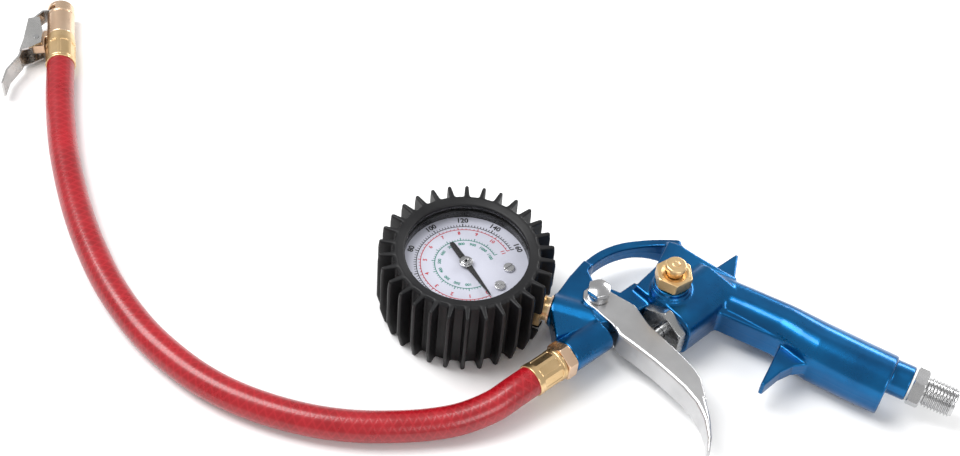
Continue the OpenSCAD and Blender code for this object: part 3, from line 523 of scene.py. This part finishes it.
def castingField(x, y, z, facts):
    k = facts["softness"]
    flat = [a[:, :, 0] for a in np.broadcast_arrays(x, y)]

    def outline(name):
        return polygonField(flat[0], flat[1], facts[name])[:, :, None]

    # arch: |distance from its centre - mean radius| - half width
    reach = np.hypot(x - facts["archAt"][0], y - facts["archAt"][1])
    ring = np.abs(reach - facts["archRadius"] + facts["archWidth"] / 2) - facts["archWidth"] / 2
    # it thickens on its way to the block
    archHalf = facts["archHalf"] + facts["archGrowth"] * np.clip((x - 15) / 17, 0, 1) ** 1.6
    arch = thick(np.maximum(ring, outline("archEnds")), z, -archHalf, archHalf, 0.6)
    half = facts["bridgeHalf"]
    head = thick(outline("head"), z, -half, half, 0.5)
    pivotReach = np.hypot(x - place["pivot"][0], y - place["pivot"][1])
    ear = thick(pivotReach - facts["earRadius"], z, -half, half, 0.4)
    port = bossField(x, y, z, (0, 0), place["portDir"], facts["portRadius"], 0, facts["portLength"])
    tap = bossField(x, y, z, place["hoseBoss"], place["hoseDir"], facts["hoseBossRadius"],
                    -facts["hoseBossLength"], 0)
    skirt = thick(outline("bosses"), z, -facts["bossHalf"], facts["bossHalf"], 0.8)
    bosses = smoothMin(smoothMin(port, tap, 0.8), skirt, 0.8)
    # the lever's cheeks run in the slots on both sides of the bridge
    cheek = np.minimum(outline("slot"), pivotReach - facts["cheekRadius"])
    bosses = smoothMax(bosses, -np.maximum(cheek, half - np.abs(z)), 0.5)
    front = smoothMin(smoothMin(smoothMin(arch, head, k), ear, 0.3), bosses, k)
    # barrel and the block it stands in
    run, side, up = along(x, y, z, place["valve"], place["valveDir"])
    barrel = thick(boxField(up, side, *facts["barrelHalf"], facts["barrelCorner"]), run,
                   -facts["barrelLength"], 0, 0.7)
    block = thick(outline("block"), z, -facts["blockHalf"], facts["blockHalf"], 0.8)
    # bleed turret: two steps and a turned groove
    far = np.hypot(x - place["bleed"][0], y - place["bleed"][1])
    turret = np.minimum(thick(far - facts["turretRadius"], z, 0, facts["turretTop"], 0.35),
                        thick(far - facts["collarRadius"], z, 0, facts["collarTop"], 0.3))
    turret = np.maximum(turret, -thick(np.abs(far - 8.4) - 0.35, z, 11.0, 11.7, 0.1))
    # grip: one bar that widens from the block to its end
    gripFront, gripBack, gripHalf, corner = (
        np.interp(x, facts["gripX"], facts[key]) for key in ("gripFront", "gripBack", "gripHalf", "gripCorner"))
    section = boxField(y - (gripFront + gripBack) / 2, z, (gripBack - gripFront) / 2, gripHalf, corner)
    grip = thick(section, x, facts["gripX"][0], facts["gripX"][-1], 0.8)
    inletReach = np.hypot(y - facts["inletY"], z)
    neck = thick(inletReach - facts["neckRadius"], x, 131, 143, 0.5)
    thumb = thick(outline("thumb"), z, -facts["spurHalf"], facts["spurHalf"], 0.5)
    finger = thick(outline("finger"), z, -facts["spurHalf"], facts["spurHalf"], 0.7)
    web = thick(outline("web"), z, -facts["webHalf"], facts["webHalf"], 0.9)
    back = smoothMin(grip, smoothMin(web, finger, 1.2), 1.0)
    back = smoothMin(smoothMin(back, thumb, 1.2), neck, 0.8)
    middle = smoothMin(smoothMin(barrel, block, 1.6), turret, 1.6)
    whole = smoothMin(smoothMin(front, middle, k), back, k)
    # ports, valve chamber and pivot hole
    for hole in (bossField(x, y, z, (0, 0), place["portDir"], facts["portBore"], -2, 9.5, 0.1),
                 bossField(x, y, z, place["hoseBoss"], place["hoseDir"], facts["portBore"], -9.5, 2, 0.1),
                 bossField(x, y, z, place["valve"], place["valveDir"], facts["chamberRadius"], -9, 2, 0.1),
                 thick(far - facts["turretBore"], z, 7.7, 20, 0.1),
                 thick(inletReach - facts["inletBore"], x, 133, 150, 0.1),
                 thick(pivotReach - facts["pivotBore"], z, -20, 20, 0.1)):
        whole = smoothMax(whole, -hole, 0.4)
    # the mould's parting line, a low ridge round the middle plane
    return whole - facts["seam"] * np.clip(1 - np.abs(z) / 0.5, 0, 1)


gunOrigin = (place["gun"][0], place["gun"][1], place["midZ"])
fieldPiece("gunCasting", castingField, castingFacts, "gun", "casting_blue", ["body"], (gunOrigin, np.eye(3)))

# gauge boot: a cup with fins, folded so that one fin is worked out for all
bootFacts = {
    "grid": ((-37.6, -37.6, -1), (37.6, 37.6, 37), 0.52), "wall": 30.4, "height": 36.0, "back": 2.6,
    "fins": 30, "reach": 6.2, "finHalf": 1.25, "finSlim": 0.5, "lowSlope": 2.2, "highSlope": 0.5,
    "lip": 25.4, "lipThick": 2.8, "bore": 28.25, "rimDip": 0.28, "portHole": 9.2, "stemHole": 5.6,
}


def bootField(x, y, z, facts):
    reach = np.hypot(x, y)
    turn = np.arctan2(y, x) - math.radians(place["portDir"])
    pitch = 2 * np.pi / facts["fins"]
    fold = np.mod(turn + pitch / 2, pitch) - pitch / 2
    u, w = reach * np.cos(fold), reach * np.sin(fold)
    # a fin narrows outwards, and its outer edge slopes in at both ends
    slim = facts["finHalf"] - facts["finSlim"] * np.clip((u - facts["wall"] + 1) / (facts["reach"] + 1), 0, 1)
    fin = np.abs(w) - slim + 0 * z
    bulge = (facts["wall"] + facts["reach"] - facts["lowSlope"] * np.clip((9 - z) / 9, 0, 1)
             - facts["highSlope"] * np.clip((z - 31) / 5, 0, 1))
    fin = smoothMax(smoothMax(fin, u - bulge, 0.8), z - facts["height"] + 0.5, 0.8)
    fin = np.maximum(np.maximum(fin, -z), facts["wall"] - 3 - u)
    cup = thick(reach - facts["wall"], z, 0, facts["height"] - 1.0, 0.8)
    lid = thick(reach - facts["wall"] + 0.7, z, 0, facts["height"], 1.2)
    whole = smoothMin(smoothMin(cup, lid, 0.4), fin, 0.6)
    # the rim dips towards the window, and the cup is hollow
    whole = smoothMax(whole, z - facts["height"] + facts["rimDip"] * np.clip(30.0 - reach, 0, 9), 0.5)
    whole = smoothMax(whole, -thick(reach - facts["lip"], z, facts["back"], 60, 0.1), 0.7)
    pocket = thick(reach - facts["bore"], z, facts["back"], facts["height"] - facts["lipThick"], 0.1)
    whole = np.maximum(whole, -pocket)
    # the port's boss and stem pass through the wall
    run, side, up = along(x, y, z - place["midZ"], (0, 0), place["portDir"])
    stem = np.hypot(side, up)
    whole = smoothMax(whole, -thick(stem - facts["portHole"], run, facts["wall"] - 0.4, 60, 0.1), 0.5)
    whole = np.maximum(whole, -thick(stem - facts["stemHole"], run, 22, 60, 0.1))
    return np.maximum(whole, -z)


fieldPiece("gaugeBoot", bootField, bootFacts, "gun", "boot_rubber", ["gauge_boot"])

# squeeze lever: a pressed channel, hollowed from a solid outline
leverFacts = {
    "grid": ((8, -35, -7), (88, 19, 7), 0.36),
    "half": 6.2, "sheet": 1.2, "bend": 1.6, "ear": 6, "bore": 2.55, "tipSlim": 2.9,
    "side": [(9.2, 11.7), (10.6, 7.9), (19.5, 4.2), (26.8, 1.6), (31, -1.8), (39.7, -4.0), (49.6, -6.9), (57.6, -9.8),
             (64.5, -12.5), (71.2, -16.3), (77.1, -21.7), (81.0, -27.4), (83.5, -33.4), (84.7, -33.2), (83.1, -27.0),
             (79.0, -19.4), (74.4, -13.2), (68.4, -4.6), (63.8, -1.2), (55.8, 2.6), (39.8, 9.2), (30.5, 15.6),
             (18.4, 16.9)],
    "open": [(28.5, -4), (30.8, -0.6), (40, -2.8), (50, -5.7), (58, -8.6), (65, -11.3), (72, -15.2), (78.1, -20.7),
             (82.3, -26.8), (84.9, -33.4), (95, -30), (95, 30), (0, 30), (0, -4), (20, -6)],
}


def leverField(x, y, z, facts):
    flat = [a[:, :, 0] for a in np.broadcast_arrays(x, y)]
    side = polygonField(flat[0], flat[1], facts["side"])
    pivotReach = np.hypot(flat[0] - place["pivot"][0], flat[1] - place["pivot"][1])
    side = smoothMin(side, pivotReach - facts["ear"], 1.0)[:, :, None]
    # the web's height narrows to a rounded tip
    tipHalf = facts["half"] - facts["tipSlim"] * np.clip((x - 74) / 11, 0, 1) ** 1.6
    hollow = polygonField(flat[0], flat[1], facts["open"])[:, :, None]
    shell = roundMeet(side, np.abs(z) - tipHalf, facts["bend"])
    # only the web's bend is rounded: away from it the cheeks keep their flat faces
    shell = np.where(hollow < -3.0, np.maximum(side, np.abs(z) - tipHalf), shell)
    inner = roundMeet(hollow, np.abs(z) - tipHalf + facts["sheet"], facts["bend"] - facts["sheet"])
    shell = smoothMax(shell, -inner, 0.3)
    # the hole for the pivot bolt
    return np.maximum(shell, facts["bore"] - pivotReach[:, :, None])


fieldPiece("squeezeLever", leverField, leverFacts, "lever_arm", "lever_steel", ["lever"], (gunOrigin, np.eye(3)))


# turned and hexagonal parts, each in its own axes with z along the part
def hexPrism(x, y, z, acrossFlats, low, high, chamfer=0.25, turn=30):
    # a hexagon with its corners turned off: the field of the prism meets that of a cone
    c, s = cosSin(turn)
    prism = thick(hexField(x * c + y * s, y * c - x * s, acrossFlats), z, low, high, 0.12)
    reach = np.hypot(x, y)
    cone = (reach - acrossFlats / 2 - chamfer) * 0.5 + (np.abs(z - (low + high) / 2) - (high - low) / 2) * 0.866
    return np.maximum(prism, cone)


def upright(at, z0):
    return ((place["gun"][0] + at[0], place["gun"][1] + at[1], z0), np.eye(3))


def atDirection(at, direction):
    return ((place["gun"][0] + at[0], place["gun"][1] + at[1], place["midZ"]), away(direction))


def rodField(x, y, z, radius, low, high, edge=0.1):
    return thick(np.hypot(x, y) - radius, z, low, high, edge)


# bleed nut: a hexagon on a collar, with a neck below and a dished top round the button
nutFacts = {"grid": ((-9, -9, -5.4), (9, 9, 7.5), 0.24), "flats": 14, "low": 0.3, "high": 6.0,
            "collar": 6.4, "neck": 4.95, "neckLow": -4.4, "bore": 2.1, "pocket": 3.5, "pocketLow": 3.0,
            "dish": 6.2, "dishLow": 5.0}


def nutField(x, y, z, facts):
    reach = np.hypot(x, y)
    whole = np.minimum(hexPrism(x, y, z, facts["flats"], facts["low"], facts["high"], 0.5),
                       rodField(x, y, z, facts["collar"], -0.3, 0.6))
    whole = np.minimum(whole, rodField(x, y, z, facts["neck"], facts["neckLow"], facts["low"]))
    whole = np.maximum(whole, -rodField(x, y, z, facts["pocket"], facts["pocketLow"], 9))
    whole = np.maximum(whole, -rodField(x, y, z, facts["bore"], -6, 9))
    # the dish rises half a millimetre for each millimetre outwards
    dish = z - facts["dishLow"] - np.clip(reach - facts["pocket"], 0, 2.2) * 0.5
    return smoothMax(whole, dish * np.where(reach < facts["dish"], 1, 0) - 0.05, 0.1)


fieldPiece("bleedNut", nutField, nutFacts, "gun", "yellow_brass", ["bleed_nut"], upright(place["bleed"], 28.3))

# bleed button: a mushroom head with a dimple, a neck and a pin
buttonFacts = {"grid": ((-5.5, -5.5, -13.8), (5.5, 5.5, 5), 0.24), "head": 4.38, "headTop": 2.9, "neck": 3.36,
               "neckLow": -2.9, "pin": 1.48, "pinLow": -12.9, "dimple": 1.5, "dimpleLow": 2.55}


def buttonField(x, y, z, facts):
    whole = np.minimum(rodField(x, y, z, facts["neck"], facts["neckLow"], 1.0, 0.2),
                       rodField(x, y, z, facts["head"], 0, facts["headTop"], 0.7))
    whole = np.minimum(whole, rodField(x, y, z, facts["pin"], facts["pinLow"], -2.5))
    return smoothMax(whole, -rodField(x, y, z, facts["dimple"], facts["dimpleLow"], 5, 0.3), 0.2)


fieldPiece("bleedButton", buttonField, buttonFacts, "bleed", "yellow_brass", ["bleed_button"],
           upright(place["bleed"], 36.2))

# pivot bolt: the head with its washer face and domed top, and the shank through the casting
boltFacts = {"grid": ((-6, -6, -14.5), (6, 6, 16), 0.24), "flats": 9, "turn": 15, "low": 9.5, "high": 14.0,
             "domeZ": 2.0, "domeRadius": 10.95, "washer": 4.3, "washerTop": 10.4, "shank": 2.5, "shankLow": -11.2}


def boltField(x, y, z, facts):
    dome = np.sqrt(np.hypot(x, y) ** 2 + (z - facts["domeZ"]) ** 2) - facts["domeRadius"]
    whole = np.maximum(hexPrism(x, y, z, facts["flats"], facts["low"], facts["high"], 0.2, facts["turn"]), dome)
    whole = smoothMin(whole, rodField(x, y, z, facts["washer"], facts["low"], facts["washerTop"], 0.2), 0.1)
    return np.minimum(whole, rodField(x, y, z, facts["shank"], facts["shankLow"], 10, 0.3))


fieldPiece("pivotBolt", boltField, boltFacts, "gun", "plated_steel", ["pivot_bolt"],
           upright(place["pivot"], place["midZ"]))

# gland nut at the barrel's mouth
glandFacts = {"grid": ((-12.5, -12.5, -9), (12.5, 12.5, 6), 0.3), "flats": 20, "high": 4.5, "neck": 7.9,
              "neckLow": -8, "bore": 2.6}


def glandField(x, y, z, facts):
    whole = np.minimum(hexPrism(x, y, z, facts["flats"], 0, facts["high"], 0.3),
                       rodField(x, y, z, facts["neck"], facts["neckLow"], 0.5, 0.2))
    return np.maximum(whole, -rodField(x, y, z, facts["bore"], -12, 9))


fieldPiece("glandNut", glandField, glandFacts, "gun", "zinc_plate", ["gland_nut"],
           atDirection(place["valve"], place["valveDir"]))

# hose adaptor: a hexagon, its thread behind it and the barb in front
adaptorFacts = {"grid": ((-8.6, -8.6, -9.3), (8.6, 8.6, 20), 0.3), "flats": 14, "low": 0.1, "high": 5.1,
                "thread": 4.8, "threadLow": -9, "barb": 4.15, "barbHigh": 19.5, "bore": 2}


def adaptorField(x, y, z, facts):
    whole = np.minimum(hexPrism(x, y, z, facts["flats"], facts["low"], facts["high"], 0.35),
                       rodField(x, y, z, facts["thread"], facts["threadLow"], 0.3, 0.2))
    whole = np.minimum(whole, rodField(x, y, z, facts["barb"], 4, facts["barbHigh"], 0.3))
    return np.maximum(whole, -rodField(x, y, z, facts["bore"], -12, 30))


fieldPiece("hoseAdaptor", adaptorField, adaptorFacts, "gun", "rose_brass", ["hose_adaptor"],
           atDirection(place["hoseBoss"], place["hoseDir"]))

# ferrules: sleeves with rounded flats pressed into them
ferruleFacts = {"grid": ((-7.4, -7.4, -0.6), (7.4, 7.4, 15.1), 0.19), "radius": 6.94, "bore": 6.15, "length": 14.5,
                "flats": 8, "depth": 0.45, "padHalf": 1.75, "padEnd": 2.6, "padCorner": 0.6, "seat": 5.15}


def ferruleField(x, y, z, facts):
    reach = np.hypot(x, y)
    turn = np.arctan2(y, x)
    pitch = 2 * np.pi / facts["flats"]
    fold = np.mod(turn, pitch) - pitch / 2
    sleeve = thick(reach - facts["radius"], z, 0, facts["length"], 0.35)
    # each pad is a rounded rectangle sunk to a flat
    pad = boxField(reach * np.sin(fold), z - facts["length"] / 2, facts["padHalf"],
                   facts["length"] / 2 - facts["padEnd"], facts["padCorner"])
    sunk = facts["radius"] - facts["depth"] - reach * np.cos(fold)
    sleeve = smoothMax(sleeve, -np.maximum(pad, sunk), 0.12)
    # a fine turned line near the end
    rim = thick(np.abs(reach - facts["radius"] + 0.1) - 0.12, z, 1.35, 1.6, 0.05)
    sleeve = smoothMax(sleeve, -rim, 0.1)
    return np.maximum(sleeve, facts["bore"] - reach)


bossTip = [a + ferruleFacts["seat"] * b for a, b in zip(place["hoseBoss"], cosSin(place["hoseDir"]))]
fieldPiece("hoseFerrule", ferruleField, ferruleFacts, "gun", "yellow_brass", ["hose_ferrule"],
           atDirection(bossTip, place["hoseDir"]))
chuckFerrule = fieldPiece("chuckFerrule", ferruleField, ferruleFacts, "gun", "yellow_brass", ["chuck_ferrule"],
                          (place["chuck"], away(place["chuckDir"])))

# air inlet: hexagon, neck and a coarse thread cut by a helix
inletFacts = {
    "grid": ((-9, -9, -10.4), (9, 9, 19.6), 0.15), "at": (143, 41.5),
    "flats": 15, "seal": 0.8, "hex": 5.0, "neck": 1.2, "thread": 12.0, "radius": 6.58, "pitch": 1.337,
    "depth": 1.15, "threadFactor": 0.55, "bore": 3.2, "seat": 5.2,
}


def inletField(x, y, z, facts):
    reach, turn = np.hypot(x, y), np.arctan2(y, x)
    start = facts["seal"] + facts["hex"]
    end = start + facts["neck"] + facts["thread"]
    # thread: root where the helix phase is 0, crest half a turn later
    phase = np.mod(z / facts["pitch"] - turn / (2 * np.pi), 1.0)
    ramp = np.clip((end - z) / 1.6, 0, 1) * np.clip((z - start - 0.4) / 1.2, 0, 1)
    wave = facts["depth"] * np.abs(2 * phase - 1)
    crest = facts["radius"] - facts["depth"] * (1 - ramp) - wave * ramp
    # the factor keeps the steep thread's field near a true distance
    rod = np.maximum((reach - crest) * facts["threadFactor"],
                     np.abs(z - (start + end) / 2) - (end - start) / 2)
    whole = np.minimum(hexPrism(x, y, z, facts["flats"], facts["seal"], start, 0.3, 0), rod)
    whole = np.minimum(whole, rodField(x, y, z, facts["seat"], -10, facts["seal"] + 0.3, 0.2))
    return smoothMax(whole, -rodField(x, y, z, facts["bore"], -12, 40), 0.3)


fieldPiece("inletNipple", inletField, inletFacts, "gun", "plated_steel", ["inlet_nipple"],
           atDirection(inletFacts["at"], 0))

# chuck: body with its lug, a slit for the clip's tip and the bore for a valve
chuckFacts = {
    "grid": ((11.4, -7, -7), (40.8, 13.8, 7), 0.28),
    "start": 18.4, "end": 40.2, "radius": 6.45, "mouth": 4.0, "slit": (35.4, 37.7),
    "lugAt": (16.5, 10.0), "lugHalf": (4.5, 3.2), "rootAt": (20.7, 5.5), "rootHalf": (2.3, 2.5), "lugThick": 2.4,
    "pinAt": (15.5, 10.6), "pinBore": 1.22, "boreStart": 26.4, "pocketEnd": 31, "tailBore": 4.7, "tailEnd": 24.9,
}


def chuckField(x, y, z, facts):
    # x along the chuck, y towards the clip, z up
    reach = np.hypot(y, z)
    tube = thick(reach - facts["radius"], x, facts["start"], facts["end"], 0.5)
    groove = thick(np.abs(reach - facts["radius"]) - 0.35, x, 33.2, 33.9, 0.1)
    tube = smoothMax(tube, -groove, 0.15)
    # the lug stands on a root and clears the tail's collar
    height = facts["lugThick"]
    (lugX, lugY), (rootX, rootY) = facts["lugAt"], facts["rootAt"]
    lug = thick(boxField(x - lugX, y - lugY, *facts["lugHalf"], 1.0), z, -height, height, 0.3)
    root = thick(boxField(x - rootX, y - rootY, *facts["rootHalf"], 0.3), z, -height, height, 0.3)
    lug = np.maximum(np.minimum(lug, root), np.where(x < facts["start"], 7.35 - y, -9))
    whole = smoothMin(tube, lug, 0.3)
    # bores: the mouth, the seal's pocket behind it and the tail's seat
    whole = smoothMax(whole, -thick(reach - facts["mouth"], x, facts["boreStart"], 60, 0.1), 0.6)
    pocket = thick(reach - facts["mouth"] - 0.3, x, facts["boreStart"], facts["pocketEnd"], 0.1)
    whole = np.maximum(whole, -pocket)
    whole = np.maximum(whole, -thick(reach - facts["tailBore"], x, 0, facts["tailEnd"], 0.1))
    slit = np.maximum(np.abs(x - sum(facts["slit"]) / 2) - (facts["slit"][1] - facts["slit"][0]) / 2, 2 - y)
    whole = smoothMax(whole, -slit, 0.3)
    return np.maximum(whole, facts["pinBore"] - np.hypot(x - facts["pinAt"][0], y - facts["pinAt"][1]))


cosine, sine = cosSin(place["chuckDir"])
chuckTurn = [[cosine, -sine, 0], [sine, cosine, 0], [0, 0, 1]]
chuckBody = fieldPiece("chuckBody", chuckField, chuckFacts, "gun", "rose_brass", ["chuck_body"],
                       (place["chuck"], chuckTurn))

# dial print: flat marks just above the dial's face; angles in degrees, sizes in millimetres
dialFacts = {
    "z": 26.53, "zero": -31.0, "sweep": -276.0, "line": 0.17,
    "black": {"radius": 20.5, "tall": 1.6, "short": 1.1, "marks": 80, "each": 10, "width": 0.46,
              "last": 160, "by": 20, "numbersAt": 23.8, "size": 3.3},
    "red": {"radius": 18.8, "tall": 1.2, "short": 0.7, "marks": 55, "each": 5, "width": 0.36,
            "last": 11, "by": 1, "numbersAt": 16.9, "size": 2.3},
    "green": {"radius": 12.9, "tall": 1.4, "short": 0.8, "marks": 55, "each": 5, "width": 0.36,
              "last": 1100, "by": 100, "numbersAt": 10.9, "size": 1.8},
}


def dialPoint(radius, angle):
    return np.stack([radius * np.cos(angle), radius * np.sin(angle)], axis=-1)


def markStrip(inner, outer, first, last, z):
    # an arc band between two radii, as one row of quads
    count = max(2, int(abs(last - first) / math.radians(3)) + 2)
    turn = np.linspace(first, last, count)
    points = np.concatenate([dialPoint(inner, turn), dialPoint(outer, turn)])
    points = np.column_stack([points, np.full(len(points), z)])
    i = np.arange(count - 1)
    return points, np.stack([i, i + 1, i + 1 + count, i + count], axis=1)


def markLine(angle, inner, outer, width, z):
    side = dialPoint(1.0, angle + math.pi / 2) * width / 2
    a, b = dialPoint(inner, angle), dialPoint(outer, angle)
    points = np.column_stack([[a - side, b - side, b + side, a + side], np.full(4, z)])
    return points, np.array([[0, 1, 2, 3]])


def joined(parts):
    points, faces, base = [], [], 0
    for p, f in parts:
        points.append(p)
        faces.append(f + base)
        base += len(p)
    return np.concatenate(points), np.concatenate(faces)


def scaleAngle(share):
    return math.radians(dialFacts["zero"] + dialFacts["sweep"] * share)


def scaleMarks(scale, z):
    # an arc line with a mark at each division, taller and wider at every numbered one
    radius, line = scale["radius"], dialFacts["line"]
    parts = [markStrip(radius - line, radius + line, scaleAngle(0), scaleAngle(1), z)]
    for i in range(scale["marks"] + 1):
        main = i % scale["each"] == 0
        reach = scale["tall"] if main else scale["short"]
        width = scale["width"] if main else scale["width"] * 0.7
        parts.append(markLine(scaleAngle(i / scale["marks"]), radius, radius + reach, width, z))
    return parts


printZ = dialFacts["z"]
for color in ("black", "red", "green"):
    points, faces = joined(scaleMarks(dialFacts[color], printZ))
    newPiece("dial" + color.title(), points * mm, faces, materials[color + "_print"], "gun",
             smooth=False)


def addNumber(name, text, radius, angle, size, slot):
    # a number whose top points away from the dial's middle
    curve = bpy.data.curves.new(name, "FONT")
    curve.body = text
    curve.size = size * mm
    curve.align_x, curve.align_y = "CENTER", "CENTER"
    curve.resolution_u = 3
    curve.offset = 0.035 * size * mm
    shape = bpy.data.objects.new(name + "_text", curve)
    bpy.context.scene.collection.objects.link(shape)
    bpy.context.view_layer.update()
    mesh = bpy.data.meshes.new_from_object(shape.evaluated_get(bpy.context.evaluated_depsgraph_get()))
    bpy.data.objects.remove(shape)
    points = np.empty(len(mesh.vertices) * 3)
    mesh.vertices.foreach_get("co", points)
    points = points.reshape(-1, 3)
    turn = angle - math.pi / 2
    c, s = math.cos(turn), math.sin(turn)
    placed = points @ np.array([[c, s, 0], [-s, c, 0], [0, 0, 1]])
    placed += np.array([radius * math.cos(angle), radius * math.sin(angle), printZ]) * mm
    mesh.vertices.foreach_set("co", placed.ravel())
    mesh.materials.clear()
    mesh.materials.append(materials[slot])
    piece = bpy.data.objects.new(name, mesh)
    bpy.context.scene.collection.objects.link(piece)
    return piece


def joinPieces(name, pieces):
    bpy.ops.object.select_all(action="DESELECT")
    for piece in pieces:
        piece.select_set(True)
    bpy.context.view_layer.objects.active = pieces[0]
    bpy.ops.object.join()
    pieces[0].name = name
    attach(pieces[0], "gun")


for color in ("black", "red", "green"):
    scale = dialFacts[color]
    numbers = [addNumber("%s%d" % (color[0], v), str(v), scale["numbersAt"], scaleAngle(v / scale["last"]),
                         scale["size"], color + "_print") for v in range(0, scale["last"] + 1, scale["by"])]
    joinPieces("numbers" + color.title(), numbers)
print("dial printed")

# pointer's washer and cap, with a dimple in the cap
hubFacts = {"grid": ((-3.6, -3.6, -0.6), (3.6, 3.6, 1.8), 0.12), "z": 27.85, "washer": 2.9, "washerTop": 0.4,
            "cap": 2.1, "top": 1.15, "dimple": 0.9, "dimpleLow": 0.85}


def hubField(x, y, z, facts):
    whole = smoothMin(rodField(x, y, z, facts["washer"], 0, facts["washerTop"], 0.12),
                      rodField(x, y, z, facts["cap"], 0, facts["top"], 0.3), 0.1)
    return smoothMax(whole, -rodField(x, y, z, facts["dimple"], facts["dimpleLow"], 3), 0.1)


fieldPiece("pointerHub", hubField, hubFacts, "needle", "bright_cap", ["pointer_cap"],
           ((0, 0, hubFacts["z"]), np.eye(3)))

# the two slotted screws that hold the dial; their places and slots are in degrees
screwFacts = {"grid": ((13.5, -6.6, 22), (20.6, 10.2, 28.2), 0.2), "radius": 17.8, "turns": (23.5, -10.5),
              "slots": (70.0, 35.0), "slotHalf": 0.3, "slotLow": 27.15, "head": 2.35, "headLow": 26.52,
              "headTop": 27.65, "shank": 1.2, "shankLow": 22.6}


def screwField(x, y, z, facts):
    screws = []
    for turn, slot in zip(facts["turns"], facts["slots"]):
        (c, s), (slotC, slotS) = cosSin(turn), cosSin(slot)
        u, w = x - facts["radius"] * c, y - facts["radius"] * s
        screw = np.minimum(rodField(u, w, z, facts["head"], facts["headLow"], facts["headTop"], 0.3),
                           rodField(u, w, z, facts["shank"], facts["shankLow"], 26.6))
        across = np.abs(u * slotS - w * slotC) - facts["slotHalf"]
        screws.append(smoothMax(screw, -np.maximum(across, facts["slotLow"] - z), 0.1))
    return np.minimum(*screws)


fieldPiece("dialScrews", screwField, screwFacts, "gun", "bright_cap", ["dial_screws"], look="screw_steel")

# finishes of the CAD nodes that are shown
for entry in frame["record"]["subparts"]:
    node = frame["nodes"].get(entry["node"])
    material = materials.get(entry["material_slot"])
    if node is None or material is None:
        continue
    if not node.material_slots:
        node.data.materials.append(material)
    for slot in node.material_slots:
        slot.material = material
print("finishes given")

# floor and light, in metres and watts
studioFacts = {
    "floor": (0.9, 0.9, 0.9), "floorHalf": 3, "floorZ": -0.0002,
    "sky": (1.0, 1.0, 1.0), "skyStrength": 0.55,
    "lights": {
        "keyLight": {"at": (-0.75, -0.15, 1.35), "target": (0, 0, 0), "size": 0.8, "tall": 1.2, "power": 25.0},
        "fillLight": {"at": (0.7, -0.5, 0.55), "target": (0.05, 0, 0), "size": 0.4, "tall": None, "power": 2.5},
        "rimLight": {"at": (0.3, 0.75, 0.4), "target": (0.1, 0, 0), "size": 0.6, "tall": 0.2, "power": 4.0},
    },
}


def addFloor(facts):
    mesh = bpy.data.meshes.new("floor")
    half, z = facts["floorHalf"], facts["floorZ"]
    corners = [(-half, -half, z), (half, -half, z), (half, half, z), (-half, half, z)]
    mesh.from_pydata(corners, [], [(0, 1, 2, 3)])
    floor = bpy.data.objects.new("floor", mesh)
    addPlain("floor_paint", facts["floor"], facts["floor"], 0.0, (0.55, 0.6), (200.0, 0.0, 0.00001), specular=0.2)
    mesh.materials.append(materials["floor_paint"])
    bpy.context.scene.collection.objects.link(floor)


def addArea(name, at, target, size, tall, power):
    data = bpy.data.lights.new(name, "AREA")
    data.energy = power
    data.size = size
    if tall:
        data.shape = "RECTANGLE"
        data.size_y = tall
    lamp = bpy.data.objects.new(name, data)
    direction = Vector(target) - Vector(at)
    lamp.matrix_world = Matrix.Translation(at) @ direction.to_track_quat("-Z", "Y").to_matrix().to_4x4()
    bpy.context.scene.collection.objects.link(lamp)


addFloor(studioFacts)
world = bpy.data.worlds.new("studio")
world.use_nodes = True
background = world.node_tree.nodes["Background"]
background.inputs["Color"].default_value = (*studioFacts["sky"], 1)
background.inputs["Strength"].default_value = studioFacts["skyStrength"]
bpy.context.scene.world = world
bpy.context.scene.view_settings.view_transform = "Standard"
for name, light in studioFacts["lights"].items():
    addArea(name, **light)
print("studio lit")
